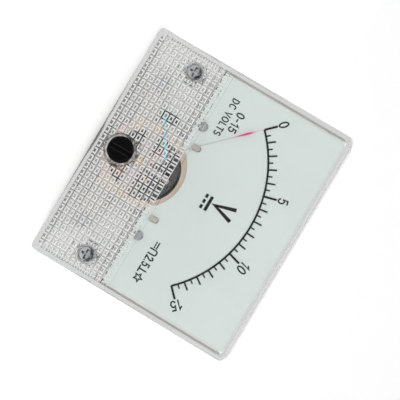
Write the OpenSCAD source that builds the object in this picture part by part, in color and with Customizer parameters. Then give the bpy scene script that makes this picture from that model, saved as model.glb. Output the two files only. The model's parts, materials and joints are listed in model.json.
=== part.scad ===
// Analog panel meter: a moving-coil direct-voltage meter with a clear moulded cover.
// The meter stands as it does in an upright panel: the dial looks along -Y, +Z is up and the
// panel's front surface is the plane Y = 0, with the origin at the middle of the face.
// All sizes are in millimetres.

/* [Cover] */
// Width of the front face
face_w = 64; // [62:0.5:72]
// Height of the front face
face_h = 56; // [55:0.5:64]
// Depth of the cover from its front face to the panel
cover_d = 14; // [13:0.5:17]
// Thickness of the clear front
cover_front = 2; // [1.6:0.1:2.6]
// Thickness of the cover's side walls
cover_wall = 1.6; // [1.2:0.1:2]
// Radius of the face's four corners
corner_r = 3; // [1:0.1:4]
// Rounding of the front edge
edge_r = 1.2; // [0.6:0.1:1.6]
// How far each side leans in from the panel to the front face
draft = 0.4; // [0.1:0.1:0.8]

/* [Prismatic band] */
// Height of the prismatic band above the lower edge of the face
band_h = 21.1; // [19.5:0.1:21.5]
// Columns of prisms across the cover
prism_columns = 30; // [20:2:36]
// Height of one row of prisms
prism_row = 1.53; // [1.3:0.01:2.2]
// Depth of the grooves between the prisms
prism_depth = 0.45; // [0.3:0.05:0.8]
// Width of the flat top of a prism
prism_flat_w = 0.8; // [0.4:0.05:1.1]
// Height of the flat top of a prism
prism_flat_h = 0.5; // [0.3:0.05:0.8]
// Width of the flat floor of the grooves between the prisms
prism_floor = 0.35; // [0.1:0.05:0.4]
// Height of the plain rib between the window and the band
rib_h = 1.1; // [0.8:0.1:1.6]
// How far that rib stands out behind the window
rib_d = 0.6; // [0.3:0.1:0.9]

/* [Base] */
// Thickness of the base's flange behind the cover
flange_t = 3; // [2.4:0.1:3.6]
// Gap between the flange and the cover's skirt
flange_gap = 0.2; // [0.1:0.05:0.4]
// Thickness of the deck in front of the barrel
deck_t = 1.8; // [1.4:0.1:2.2]
// Distance from the face's side edges in to the barrel
barrel_inset = 7.5; // [6:0.1:7.6]
// Wall of the barrel
barrel_wall = 1.4; // [1.1:0.1:1.6]
// Depth of the case behind the panel, with its rear cap
case_d = 26; // [24:0.5:32]
// Height of the barrel's centre above the lower edge of the face
barrel_up = 25.4; // [25:0.1:25.7]
// Thickness of the rear cap
cap_t = 1.8; // [1.4:0.1:2.4]
// Width of the dial's supporting rib on the base
ledge_w = 1.2; // [0.8:0.1:2]

/* [Mounting studs] */
// Distance of each mounting stud from its side of the face
stud_side = 6; // [5.5:0.1:6.5]
// Height of the mounting studs above the lower edge of the face
stud_up = 13.35; // [10:0.05:16]
// Radius of a mounting stud
stud_r = 1.5; // [1.25:0.05:1.6]
// Radius of a stud's head
stud_head_r = 1.95; // [1.85:0.05:2.2]
// Length of a stud's head
stud_head_l = 2.2; // [1.6:0.1:2.6]
// How far a stud reaches behind the panel's front surface
stud_reach = 16; // [13:0.5:24]
// Thickness of the panel that the nuts are run up to
panel_t = 3; // [1:0.5:8]
// Radius of the cover's boss around a stud
stud_boss_r = 2.4; // [2.3:0.1:3.8]

/* [Terminals] */
// Distance between the two terminals
terminal_pitch = 25; // [22:0.5:28]
// Radius of a terminal stud
terminal_r = 2; // [1.8:0.1:2.5]
// How far a terminal stud reaches behind the case
terminal_reach = 16; // [13:0.5:22]
// Width across the flats of the terminal nuts
terminal_nut_af = 7; // [6:0.5:8]
// Thickness of the terminal nuts
terminal_nut_t = 2.4; // [1.6:0.1:3]

/* [Movement] */
// Sideways place of the pointer's axis and of the zero adjuster
axis_x = -0.3; // [-0.5:0.1:0.5]
// Height of the pointer's axis above the lower edge of the face
axis_up = 12.5; // [12.4:0.05:13.2]
// Outer radius of the soft-iron yoke ring
yoke_r = 9.8; // [9.6:0.05:9.9]
// Inner radius of the yoke ring
yoke_bore_r = 7.8; // [7.75:0.05:8]
// Length of the yoke ring
yoke_l = 12; // [11.5:0.1:13]
// Radius of the magnet core
core_r = 6; // [5.6:0.1:6.1]
// Running gap on each side of the moving coil's former
coil_gap = 0.4; // [0.3:0.05:0.45]
// Thickness of the coil former
former_t = 0.25; // [0.2:0.05:0.3]
// Thickness of the copper winding
winding_t = 0.65; // [0.4:0.05:0.7]
// Width of the copper winding
winding_w = 3.2; // [2.4:0.1:3.4]
// Thickness of the stamped frame that carries the movement
frame_t = 1.4; // [1:0.1:1.8]
// Thickness of the front and rear bridges
bridge_t = 0.8; // [0.6:0.1:1]
// Radius of the jewel screws
jewel_r = 1.25; // [1:0.05:1.4]
// Radius of the staff
staff_r = 0.45; // [0.35:0.05:0.6]
// Radius of the staff's pivot tips
pivot_r = 0.25; // [0.2:0.01:0.3]

/* [Pointer and dial] */
// How far the pointer's tip reaches past the scale's arc
pointer_past = 0; // [-2:0.1:1.2]
// Thickness of the pointer
pointer_t = 0.3; // [0.2:0.05:0.4]
// Gap between the pointer and the dial
pointer_gap = 1; // [0.9:0.05:1.3]
// Angle that the pointer turns from the first mark to the last
sweep = 90; // [80:1:92]
// Radius of the scale's arc
scale_r = 31.8; // [30:0.1:33]
// Divisions on the scale
scale_divisions = 30; // [10:10:30]
// Thickness of the dial plate
dial_t = 0.6; // [0.4:0.1:0.8]
// Distance of the dial's side edges from the sides of the face
dial_side = 2.2; // [2:0.1:4]
// Distance of the dial's upper edge from the upper edge of the face
dial_head = 2; // [1.9:0.1:4]
// Height of the dial's lower edge above the lower edge of the face
dial_foot = 19.5; // [19.2:0.1:20.2]
// Radius of the notch in the dial's lower edge
notch_r = 10.4; // [10:0.1:10.8]
// Distance between the two dial screws
dial_screw_pitch = 31.4; // [30:0.2:34]

/* [Zero adjuster] */
// Distance from the pointer's axis down to the adjuster's axis
adjuster_drop = 5; // [5:0.1:5.6]
// Radius of the adjuster's knob
knob_r = 3.3; // [2.8:0.1:3.6]
// How far the knob stands out of the cover
knob_proud = 1; // [0.4:0.1:1.6]
// Width of the screwdriver slot
slot_w = 1.2; // [0.8:0.1:1.6]
// Radius of the adjuster's shaft
shaft_r = 1.3; // [1.2:0.05:1.5]
// Distance of the eccentric pin from the adjuster's axis
pin_throw = 0.8; // [0.5:0.05:0.85]
// Radius of the eccentric pin
pin_r = 0.4; // [0.3:0.05:0.45]

/* [Hairsprings] */
// Turns in each hairspring
spring_turns = 3.5; // [2.5:0.5:4.5]
// Outer radius of a hairspring
spring_r = 4.3; // [3.8:0.1:4.6]
// Thickness of the spring strip
spring_t = 0.12; // [0.08:0.01:0.16]
// Width of the spring strip
spring_w = 0.4; // [0.3:0.05:0.5]

/* [Hidden] */
$fn = 48;
eps = 0.01;              // overlap that makes a cut or a join clean
run_gap = 0.3;           // running gap between pieces that move past each other
fit_gap = 0.05;          // radial clearance of a shaft or a pin in its hole
seat_gap = 0.02;         // radial clearance of a ring fixed on a shaft
boss_gap = 0.05;         // air between the cover's bosses and the base

// the inside of the cover
cavity_w = face_w - 2 * cover_wall;
cavity_h = face_h - 2 * cover_wall;
cavity_r = max(corner_r - cover_wall, 0.3);
window_y = -(cover_d - cover_front);

// heights from the middle of the face, and sizes across it
face_foot = -face_h / 2;
band_top = face_foot + band_h;
rib_draft = 0.12;
barrel_z = face_foot + barrel_up;
stud_z = face_foot + stud_up;
stud_pitch = face_w - 2 * stud_side;
axis_z = face_foot + axis_up;
dial_w = face_w - 2 * dial_side;
dial_top = face_h / 2 - dial_head;
dial_bottom = face_foot + dial_foot;

// the base and its flange
flange_w = cavity_w - 2 * flange_gap;
flange_h = cavity_h - 2 * flange_gap;
deck_y = -flange_t;
barrel_r = face_w / 2 - barrel_inset;
barrel_bore_r = barrel_r - barrel_wall;
barrel_end = case_d - cap_t;
cap_screw_ring = barrel_bore_r - 4.1;
cap_post_r = 2.4;
cap_screw_r = 1.25;
cap_screw_l = 6;
cap_lip = 1.2;
terminal_boss_h = 1;

// the movement's stack, from the window inwards
bridge_y = window_y + 1.1;
bridge_back = bridge_y + bridge_t;
lever_t = 0.3;
lever_y = bridge_back + run_gap;
lever_back = lever_y + lever_t;
front_spring_y = lever_back + run_gap;
hub_y = front_spring_y + spring_w + run_gap;
hub_l = 1;
hub_r = 1.5;
pointer_y = hub_y + (hub_l - pointer_t) / 2;
pointer_back = pointer_y + pointer_t;
dial_y = pointer_back + pointer_gap;
dial_back = dial_y + dial_t;
frame_back = dial_back + frame_t;
yoke_back = frame_back + yoke_l;
core_inset = 0.9;
core_y = frame_back + core_inset;
core_back = yoke_back - core_inset;
winding_y = core_y - coil_gap - former_t - winding_t;
winding_back = core_back + coil_gap + former_t + winding_t;
rear_spring_y = winding_back + 0.3 + run_gap;
rear_spring_back = rear_spring_y + spring_w;
pivot_l = 0.5;
front_jewel_back = lever_back + run_gap / 2;
rear_jewel_y = rear_spring_back + run_gap;
rear_bridge_y = rear_jewel_y + 0.9;
rear_bridge_back = rear_bridge_y + bridge_t;
pillar_ring = (yoke_r + yoke_bore_r) / 2 + 0.2;
pillar_r = 1;
spigot_r = 0.5;
spigot_l = 1.6;
pillar_nut_t = 0.6;
bridge_half = 1.5;
solder_tag = [-3.4, 5.2];
frame_ring_r = yoke_r + 0.4;
frame_bore_r = yoke_bore_r + 0.2;
collet_r = 2 * staff_r;

// the pointer and its stops
rest_angle = sweep / 2;
overtravel = 3;
needle_half = 0.34;
pointer_l = scale_r + pointer_past;
stop_ring = (frame_ring_r + frame_bore_r) / 2;
stop_r = 0.35;
stop_angle = rest_angle + overtravel + (needle_half + stop_r + run_gap) * 180 / (PI * stop_ring);
balance_arm = 4.6;
main_weight = [1.1, 1.05];
side_weight = [0.6, 0.9];

// the dial, its screws and its pegs
notch_z = axis_z + 1.5;
frame_rim = 1.6;
dial_screw_z = dial_bottom + 2;
dial_screw_r = 0.8;
dial_screw_head_r = 1.25;
peg_pitch = 20.6;
peg_w = 1.2;
peg_top = dial_bottom + 4.35;
peg_bottom = dial_bottom + 2.2;
peg_gap = 0.15;
print_t = 0.05;

// the lower arms of the frame
arm_x = stud_pitch / 2 - 6.5;
arm_z = axis_z - 5.5;
arm_r = 2.4;
frame_screw_r = 1;

// the zero adjuster
adjuster_z = axis_z - adjuster_drop;
recess_r = knob_r + 0.7;
recess_d = 1;
adjuster_boss_r = shaft_r + 1.7;
adjuster_boss_back = window_y + 1;
retainer_y = adjuster_boss_back + run_gap;
retainer_t = 0.4;
retainer_back = retainer_y + retainer_t;
fork_gap = 0.1;
lever_lean = 6;

// the mounting hardware
head_y = -cover_d + 0.8;
head_seat = head_y + stud_head_l;
stud_bore_r = stud_r + 0.1;
hardware_y = panel_t;
stud_washer_r = stud_r + 1.6;
stud_washer_t = 0.5;
stud_split_t = 0.8;
stud_split_y = hardware_y + stud_washer_t;
stud_nut_y = stud_split_y + stud_split_t;
stud_nut_t = 2.4;
stud_nut_af = 2 * stud_r + 2.5;

// the series resistor behind the movement
resistor_l = 8;
resistor_r = 1.7;
resistor_pos = [2.2, 17, barrel_z + 6.5];
resistor_wire_r = 0.3;
resistor_wire_l = 3;
resistor_end = resistor_l / 2 + resistor_wire_l;

// leads: points chosen by hand in x, y and z, between ends that come from the pieces they join
lead_r = 0.35;
lead_gap = 0.1;
terminal_head_t = 2;
terminal_head_y = barrel_end - terminal_head_t - lead_gap;
blue_route = concat(
    [for (q = [[-3.2, -11.3, 5.4], [-4.9, -11.3, 4.7], [-7.1, -11.1, 3.3], [-9.1, -10.1, 1.9],
        [-11.2, -8.1, 0.4], [-12.6, -5.4, -0.6], [-13.2, -3, -0.8], [-13.2, 2, 0.4],
        [-12.9, 10, 4.6], [-12.3, 18, 10.4]]) q + [axis_x, 0, axis_z]],
    [[-terminal_pitch / 2, terminal_head_y, barrel_z]]);
red_route = concat(
    [for (q = [[0.1, 0, 0], [1.8, 0.1, -0.2], [3, 0.8, -1.8], [3.3, 2.4, -4.6]])
        q + resistor_pos + [resistor_end, 0, 0]],
    [[terminal_pitch / 2, terminal_head_y, barrel_z]]);
link_route = concat(
    [for (q = [[0, 10.95, 4.2], [-0.6, 11, 6.2], [-3.1, 12.2, 9.7], [-5.7, 14.4, 14]])
        q + [axis_x, 0, axis_z]],
    [for (q = [[-2.4, -0.8, -1.6], [-1.5, 0, -0.2], [-0.1, 0, 0]]) q + resistor_pos - [resistor_end, 0, 0]]);

// ---------- general shapes ----------

// a flat outline in X and Z, made solid from y0 back to y1
module slab(y0, y1) {
    translate([0, y1, 0])
        rotate([90, 0, 0])
            linear_extrude(y1 - y0)
                children();
}

// a round bar along Y from y0 back to y1
module bar(x, z, r, y0, y1) {
    translate([x, y1, z])
        rotate([90, 0, 0])
            cylinder(h = y1 - y0, r = r);
}

// a tube along Y from y0 back to y1
module tube(x, z, r, bore, y0, y1) {
    difference() {
        bar(x, z, r, y0, y1);
        bar(x, z, bore, y0 - 1, y1 + 1);
    }
}

// a hexagonal prism along Y, with flats at the sides
module hexagon(x, z, af, y0, y1) {
    translate([x, y1, z])
        rotate([90, 0, 0])
            cylinder(h = y1 - y0, r = af / (2 * cos(30)), $fn = 6);
}

// a rectangle with round corners
module round_rect(w, h, r) {
    square([w - 2 * r, h], center = true);
    square([w, h - 2 * r], center = true);
    for (sx = [-1, 1], sz = [-1, 1])
        translate([sx * (w / 2 - r), sz * (h / 2 - r)])
            circle(r);
}

// a straight strip with round ends between two points
module strip(a, b, r) {
    d = b - a;
    translate(a)
        rotate(atan2(d[1], d[0])) {
            translate([0, -r])
                square([norm(d), 2 * r]);
            circle(r);
            translate([norm(d), 0])
                circle(r);
        }
}

// move flat work to the pointer's axis
module at_axis() {
    translate([axis_x, axis_z])
        children();
}

// points on an arc
function arc_points(c, r, a0, a1, n) =
    [for (i = [0:n]) let (a = a0 + (a1 - a0) * i / n) c + r * [cos(a), sin(a)]];

// a smooth curve through hand-chosen points, with n steps between neighbours
function bend(p, i, t) =
    let (a = p[max(i - 1, 0)], b = p[i], c = p[i + 1], d = p[min(i + 2, len(p) - 1)])
    0.5 * (2 * b + (c - a) * t + (2 * a - 5 * b + 4 * c - d) * t * t
        + (3 * b - a - 3 * c + d) * t * t * t);
function smooth(p, n) =
    concat([for (i = [0:len(p) - 2], k = [0:n - 1]) bend(p, i, k / n)], [p[len(p) - 1]]);
function unit(v) = v / norm(v);

// a wire of 8 sides swept along a route; side is a direction that the route never takes
module wire(route, r, steps, side) {
    p = smooth(route, steps);
    n = 8;
    last = len(p) - 1;
    rings = [for (i = [0:last])
        let (t = unit(p[min(i + 1, last)] - p[max(i - 1, 0)]),
            u = unit(cross(t, side)),
            v = cross(t, u))
        for (k = [0:n - 1]) p[i] + r * (cos(360 * k / n) * u + sin(360 * k / n) * v)];
    walls = [for (i = [0:last - 1], k = [0:n - 1])
        [i * n + k, (i + 1) * n + k, (i + 1) * n + (k + 1) % n, i * n + (k + 1) % n]];
    ends = [[for (k = [0:n - 1]) k], [for (k = [0:n - 1]) last * n + n - 1 - k]];
    polyhedron(points = rings, faces = concat(walls, ends), convexity = 6);
}

// ---------- cover ----------

// half outline of the cover's depth: it leans in to the front, which has a round edge
function lean(half) =
    let (front = -cover_d + edge_r, in = half - draft - edge_r)
    concat([[0, -half]],
        arc_points([front, -in], edge_r, 270, 180, 5),
        arc_points([front, in], edge_r, 180, 90, 5),
        [[0, half]]);

module cover_block() {
    intersection() {
        slab(-cover_d, 0)
            round_rect(face_w, face_h, corner_r);
        rotate([90, 0, 90])
            linear_extrude(face_w + 2, center = true)
                polygon(lean(face_h / 2));
        linear_extrude(face_h + 2, center = true)
            polygon([for (p = lean(face_w / 2)) [p[1], p[0]]]);
    }
}

// crossed tapered grooves that leave rows of prisms behind the lower half of the front
module prism_grooves() {
    column = cavity_w / prism_columns;
    mouth_w = column - prism_flat_w;
    mouth_h = prism_row - prism_flat_h;
    rows = floor((cavity_h / 2 + band_top) / prism_row);
    groove = [window_y + eps, window_y - prism_depth];
    for (i = [1:prism_columns - 1])
        translate([-cavity_w / 2 + i * column, 0, -cavity_h / 2])
            linear_extrude(cavity_h / 2 + band_top)
                polygon([[-mouth_w / 2, groove[0]], [-prism_floor / 2, groove[1]],
                    [prism_floor / 2, groove[1]], [mouth_w / 2, groove[0]]]);
    for (k = [1:rows])
        translate([0, 0, band_top - k * prism_row])
            rotate([90, 0, 90])
                linear_extrude(cavity_w, center = true)
                    polygon([[groove[0], -mouth_h / 2], [groove[1], -prism_floor / 2],
                        [groove[1], prism_floor / 2], [groove[0], mouth_h / 2]]);
}

// the plain rib between the window and the band
module band_rib() {
    translate([0, 0, band_top])
        rotate([90, 0, 90])
            linear_extrude(cavity_w, center = true)
                polygon([[window_y - eps, 0], [window_y + rib_d, rib_draft],
                    [window_y + rib_d, rib_h - rib_draft], [window_y - eps, rib_h]]);
}

module cover() {
    color("gainsboro")
        difference() {
            union() {
                difference() {
                    cover_block();
                    slab(window_y, 1)
                        round_rect(cavity_w, cavity_h, cavity_r);
                    prism_grooves();
                }
                band_rib();
                for (s = [-1, 1])
                    bar(s * stud_pitch / 2, stud_z, stud_boss_r, window_y - 1, deck_y - boss_gap);
                bar(axis_x, adjuster_z, adjuster_boss_r, window_y - 1, adjuster_boss_back);
            }
            for (s = [-1, 1]) {
                bar(s * stud_pitch / 2, stud_z, stud_bore_r, -cover_d - 1, deck_y + 1);
                bar(s * stud_pitch / 2, stud_z, stud_head_r + 0.2, -cover_d - 1, head_seat);
            }
            bar(axis_x, adjuster_z, recess_r, -cover_d - 1, -cover_d + recess_d);
            bar(axis_x, adjuster_z, shaft_r + fit_gap, -cover_d - 1, adjuster_boss_back + 1);
        }
}

// ---------- base and rear cap ----------

// where the rear cap's three screws stand
function cap_screw(i) =
    [cap_screw_ring * cos(90 + 120 * i), barrel_z + cap_screw_ring * sin(90 + 120 * i)];

module base() {
    ledge_out = [dial_w / 2 - 0.3, dial_top - 0.3];
    lead_slot_x = -13.2;
    color("whitesmoke")
        difference() {
            union() {
                slab(deck_y, 0)
                    round_rect(flange_w, flange_h, cavity_r);
                bar(0, barrel_z, barrel_r, 0, barrel_end);
                dial_ledge(ledge_out[0], ledge_out[1]);
                for (s = [-1, 1])
                    bar(s * arm_x, arm_z, arm_r, frame_back, deck_y + eps);
            }
            difference() {
                bar(0, barrel_z, barrel_bore_r, deck_y + deck_t, barrel_end + 1);
                for (i = [0:2])
                    bar(cap_screw(i)[0], cap_screw(i)[1], cap_post_r, deck_y, barrel_end);
            }
            bar(axis_x, axis_z, yoke_r + 2 * run_gap, deck_y - 1, 1);
            slab(deck_y - 1, 1)
                at_axis()
                    strip([lead_slot_x, -1.2], [lead_slot_x, 1.6], 1.3);
            for (i = [0:2])
                bar(cap_screw(i)[0], cap_screw(i)[1], cap_screw_r + fit_gap,
                    barrel_end - cap_screw_l - 1, barrel_end + 1);
            for (s = [-1, 1]) {
                bar(s * stud_pitch / 2, stud_z, stud_bore_r, deck_y - 1, 1);
                bar(s * arm_x, arm_z, frame_screw_r + fit_gap, frame_back - 1, -1);
            }
        }
}

// a rib round the top and sides of the deck that the dial plate lies on
module dial_ledge(half_w, top) {
    foot = dial_screw_z + 1;
    slab(dial_back, deck_y + eps) {
        for (s = [-1, 1])
            translate([s * (half_w - ledge_w / 2) - ledge_w / 2, foot])
                square([ledge_w, top - foot]);
        translate([-half_w, top - ledge_w])
            square([2 * half_w, ledge_w]);
    }
}

module rear_cap() {
    color("whitesmoke")
        difference() {
            union() {
                bar(0, barrel_z, barrel_r, barrel_end, case_d);
                tube(0, barrel_z, barrel_bore_r - 0.1, barrel_bore_r - 1.2, barrel_end - cap_lip,
                    barrel_end + eps);
                for (s = [-1, 1])
                    bar(s * terminal_pitch / 2, barrel_z, terminal_r + 3, case_d - eps,
                        case_d + terminal_boss_h);
            }
            for (s = [-1, 1])
                bar(s * terminal_pitch / 2, barrel_z, terminal_r + 0.1, barrel_end - 1, case_d + 2);
            for (i = [0:2])
                bar(cap_screw(i)[0], cap_screw(i)[1], cap_screw_r + 0.1, barrel_end - 2, case_d + 1);
        }
}

module rear_cap_screws() {
    color("silver")
        for (i = [0:2])
            round_screw(cap_screw(i)[0], cap_screw(i)[1], cap_screw_r, 2.2, 1.2, case_d,
                barrel_end - cap_screw_l, 1);
}

// a round-headed screw along Y with a cross recess: seat is where its head bears, tip its end,
// and side is 1 for a head at the rear and -1 for a head at the front
module round_screw(x, z, r, head_r, head_h, seat, tip, side) {
    translate([x, seat, z])
        rotate([-90 * side, 0, 0])
            difference() {
                union() {
                    rotate_extrude()
                        polygon([[0, 0], [head_r, 0], [head_r, head_h * 0.5],
                            [head_r * 0.8, head_h * 0.88], [head_r * 0.45, head_h], [0, head_h]]);
                    translate([0, 0, -abs(tip - seat)])
                        cylinder(h = abs(tip - seat) + eps, r = r);
                }
                for (a = [0, 90])
                    rotate(a)
                        translate([-head_r * 0.6, -head_r * 0.12, head_h * 0.45])
                            cube([head_r * 1.2, head_r * 0.24, head_h]);
            }
}

// ---------- mounting hardware ----------

module mounting_studs() {
    color("silver")
        for (s = [-1, 1])
            difference() {
                union() {
                    bar(s * stud_pitch / 2, stud_z, stud_head_r, head_y, head_seat);
                    bar(s * stud_pitch / 2, stud_z, stud_r, head_seat - eps, stud_reach);
                }
                for (a = [0, 90])
                    translate([s * stud_pitch / 2, head_y - 1, stud_z])
                        rotate([0, a, 0])
                            translate([-stud_head_r * 0.66, 0, -0.3])
                                cube([stud_head_r * 1.32, 2.1, 0.6]);
            }
}

module mounting_washers() {
    color("silver")
        for (s = [-1, 1])
            tube(s * stud_pitch / 2, stud_z, stud_washer_r, stud_bore_r, hardware_y, stud_split_y);
}

// a split ring: a tube with a narrow slanting gap
module spring_washer(x, z, r, bore, y0, y1) {
    difference() {
        tube(x, z, r, bore, y0, y1);
        translate([x, (y0 + y1) / 2, z + (r + bore) / 2])
            rotate([0, 0, 30])
                cube([0.4, 3 * (y1 - y0), r - bore + 0.6], center = true);
    }
}

module mounting_spring_washers() {
    color("silver")
        for (s = [-1, 1])
            spring_washer(s * stud_pitch / 2, stud_z, stud_r + 1.3, stud_bore_r, stud_split_y, stud_nut_y);
}

// a hexagon nut along Y with both ends chamfered
module nut(x, z, af, bore, y0, y1) {
    c = (y1 - y0) * 0.16;
    corner = af / (2 * cos(30));
    difference() {
        intersection() {
            hexagon(x, z, af, y0, y1);
            translate([x, y0, z])
                rotate([-90, 0, 0])
                    rotate_extrude()
                        polygon([[0, 0], [af / 2, 0], [corner, c], [corner, y1 - y0 - c],
                            [af / 2, y1 - y0], [0, y1 - y0]]);
        }
        bar(x, z, bore, y0 - 1, y1 + 1);
    }
}

module mounting_nuts() {
    color("silver")
        for (s = [-1, 1])
            nut(s * stud_pitch / 2, stud_z, stud_nut_af, stud_r + fit_gap, stud_nut_y,
                stud_nut_y + stud_nut_t);
}

// ---------- terminals ----------

module terminal_stud(side) {
    x = side * terminal_pitch / 2;
    color("goldenrod")
        union() {
            hexagon(x, barrel_z, terminal_nut_af, barrel_end - terminal_head_t, barrel_end);
            bar(x, barrel_z, terminal_r, barrel_end - eps, case_d + terminal_reach - 0.5);
            translate([x, case_d + terminal_reach - 0.5, barrel_z])
                rotate([-90, 0, 0])
                    cylinder(h = 0.5, r1 = terminal_r, r2 = terminal_r - 0.5);
        }
}

module terminal_stud_left() {
    terminal_stud(-1);
}

module terminal_stud_right() {
    terminal_stud(1);
}

// the terminal hardware, stacked from the case outwards
base_nut_y = case_d + terminal_boss_h;
lug_y = base_nut_y + terminal_nut_t;
lug_t = 0.5;
washer_y = lug_y + lug_t;
washer_t = 0.8;
split_y = washer_y + washer_t;
split_t = 1;
end_nut_y = split_y + split_t;

module terminal_base_nuts() {
    color("goldenrod")
        for (s = [-1, 1])
            nut(s * terminal_pitch / 2, barrel_z, terminal_nut_af, terminal_r + fit_gap, base_nut_y, lug_y);
}

module solder_lugs() {
    tail = 9.5;
    color("lightgray")
        for (s = [-1, 1])
            slab(lug_y, washer_y)
                translate([s * terminal_pitch / 2, barrel_z])
                    difference() {
                        union() {
                            circle(terminal_r + 2);
                            strip([0, 0], [0, tail], 1.6);
                        }
                        circle(terminal_r + 0.1);
                        translate([0, tail - 0.4])
                            circle(0.8);
                    }
}

module terminal_washers() {
    color("goldenrod")
        for (s = [-1, 1])
            tube(s * terminal_pitch / 2, barrel_z, terminal_r + 2.4, terminal_r + 0.1, washer_y, split_y);
}

module terminal_spring_washers() {
    color("silver")
        for (s = [-1, 1])
            spring_washer(s * terminal_pitch / 2, barrel_z, terminal_r + 1.6, terminal_r + 0.1,
                split_y, end_nut_y);
}

module terminal_nuts() {
    color("goldenrod")
        for (s = [-1, 1])
            nut(s * terminal_pitch / 2, barrel_z, terminal_nut_af, terminal_r + fit_gap, end_nut_y,
                end_nut_y + terminal_nut_t);
}

// ---------- dial ----------

// the two pegs that place the dial on the frame, with play added all round
module pegs(play) {
    half = peg_w / 2 + play;
    for (s = [-1, 1])
        translate([s * peg_pitch / 2, peg_top - peg_w / 2]) {
            circle(half);
            translate([-half, peg_bottom - peg_top + peg_w / 2 - play])
                square([2 * half, peg_top - peg_w / 2 - peg_bottom + play]);
        }
}

module dial_plate() {
    middle = (dial_top + dial_bottom) / 2;
    color("azure")
        slab(dial_y, dial_back)
            difference() {
                translate([0, middle])
                    round_rect(dial_w, dial_top - dial_bottom, 1);
                translate([axis_x, notch_z])
                    circle(notch_r);
                pegs(peg_gap);
                for (s = [-1, 1])
                    translate([s * dial_screw_pitch / 2, dial_screw_z])
                        circle(dial_screw_r + 0.1);
            }
}

// one scale mark from the arc outwards
module mark(i, l, w) {
    rotate(sweep / 2 - sweep * i / scale_divisions)
        translate([-w / 2, scale_r])
            square([w, l]);
}

module scale_marks() {
    arc_w = 0.45;
    edge = scale_r + 5;
    color("black")
        slab(dial_y - print_t, dial_y)
            at_axis() {
                intersection() {
                    difference() {
                        circle(scale_r + arc_w / 2);
                        circle(scale_r - arc_w / 2);
                    }
                    polygon([[0, 0], edge * 1.5 * [-sin(sweep / 2), cos(sweep / 2)],
                        edge * 1.5 * [sin(sweep / 2), cos(sweep / 2)]]);
                }
                for (i = [0:scale_divisions])
                    if (i % 10 == 0)
                        mark(i, 3.4, 0.48);
                    else if (i % 2 == 0)
                        mark(i, 2.2, 0.36);
                    else
                        mark(i, 1.2, 0.3);
            }
}

module dial_screws() {
    color("silver")
        for (s = [-1, 1])
            round_screw(s * dial_screw_pitch / 2, dial_screw_z, dial_screw_r, dial_screw_head_r, 0.7,
                dial_y, frame_back, -1);
}

// ---------- fixed parts of the movement ----------

module movement_frame() {
    ear = [dial_screw_pitch / 2, dial_screw_z];
    arm = [arm_x, arm_z];
    color("tan") {
        difference() {
            union() {
                slab(dial_back, frame_back)
                    frame_outline(ear, arm);
                slab(dial_y - 0.6, dial_back + eps)
                    pegs(0);
            }
            for (s = [-1, 1]) {
                bar(s * ear[0], ear[1], dial_screw_r + fit_gap, dial_back - 1, frame_back + 1);
                bar(s * arm[0], arm[1], frame_screw_r + 0.1, dial_back - 1, frame_back + 1);
                bar(axis_x + s * pillar_ring, axis_z, spigot_r + fit_gap, dial_back - 1, frame_back + 1);
            }
        }
    }
}

module frame_outline(ear, arm) {
    difference() {
        union() {
            at_axis()
                circle(frame_ring_r);
            translate([axis_x, notch_z])
                circle(notch_r + 0.8);
            strip([-ear[0], ear[1]], ear, 2.2);
            for (s = [-1, 1])
                strip([s * 5, axis_z - 4.5], [s * arm[0], arm[1]], arm_r);
        }
        at_axis()
            circle(frame_bore_r);
        translate([axis_x + 0.4, notch_z + notch_r - frame_rim - yoke_bore_r])
            circle(yoke_bore_r);
    }
}

module frame_screws() {
    color("silver")
        for (s = [-1, 1])
            round_screw(s * arm_x, arm_z, frame_screw_r, 1.9 * frame_screw_r, frame_screw_r, dial_back,
                deck_y + deck_t - 0.4, -1);
}

module stop_pins() {
    color("silver")
        for (s = [-1, 1])
            bar(axis_x + s * stop_ring * sin(stop_angle), axis_z + stop_ring * cos(stop_angle), stop_r,
                pointer_y - run_gap, dial_back);
}

module yoke_ring() {
    color("gray")
        difference() {
            tube(axis_x, axis_z, yoke_r, yoke_bore_r, frame_back, yoke_back);
            for (s = [-1, 1]) {
                bar(axis_x + s * pillar_ring, axis_z, spigot_r + fit_gap, frame_back - 1,
                    frame_back + spigot_l + 0.4);
                bar(axis_x + s * pillar_ring, axis_z, spigot_r + fit_gap, yoke_back - spigot_l - 0.4,
                    yoke_back + 1);
            }
        }
}

module magnet_core() {
    color("dimgray")
        translate([axis_x, core_y, axis_z])
            rotate([-90, 0, 0])
                rotate_extrude()
                    polygon([[0, 0], [core_r - 0.4, 0], [core_r, 0.4], [core_r, core_back - core_y - 0.4],
                        [core_r - 0.4, core_back - core_y], [0, core_back - core_y]]);
}

// two brass saddles that hold the core in the yoke, beside the path of the coil
module core_spacers() {
    half = 22;
    far = yoke_bore_r * 1.5;
    color("goldenrod")
        slab(core_y + 1, core_back - 1)
            at_axis()
                intersection() {
                    difference() {
                        circle(yoke_bore_r - fit_gap);
                        circle(core_r + fit_gap);
                    }
                    for (s = [-1, 1])
                        polygon([[0, 0], far * [s * cos(half), sin(half)], far * [s * cos(half), -sin(half)]]);
                }
}

module front_bridge() {
    color("silver")
        difference() {
            slab(bridge_y, bridge_back)
                at_axis() {
                    strip([-pillar_ring, 0], [pillar_ring, 0], bridge_half);
                    circle(jewel_r + 1.15);
                    strip([0, 0], solder_tag, 0.8);
                }
            bar(axis_x, axis_z, jewel_r + fit_gap, bridge_y - 1, bridge_back + 1);
            for (s = [-1, 1])
                bar(axis_x + s * pillar_ring, axis_z, spigot_r + 0.1, bridge_y - 1, bridge_back + 1);
        }
}

// a pillar: a shoulder between y0 and y1 with thinner ends that go into the pieces on both sides
module pillar(side, y0, y1, front_end, rear_end) {
    bar(axis_x + side * pillar_ring, axis_z, pillar_r, y0, y1);
    bar(axis_x + side * pillar_ring, axis_z, spigot_r, y0 - front_end, y1 + rear_end);
}

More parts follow.
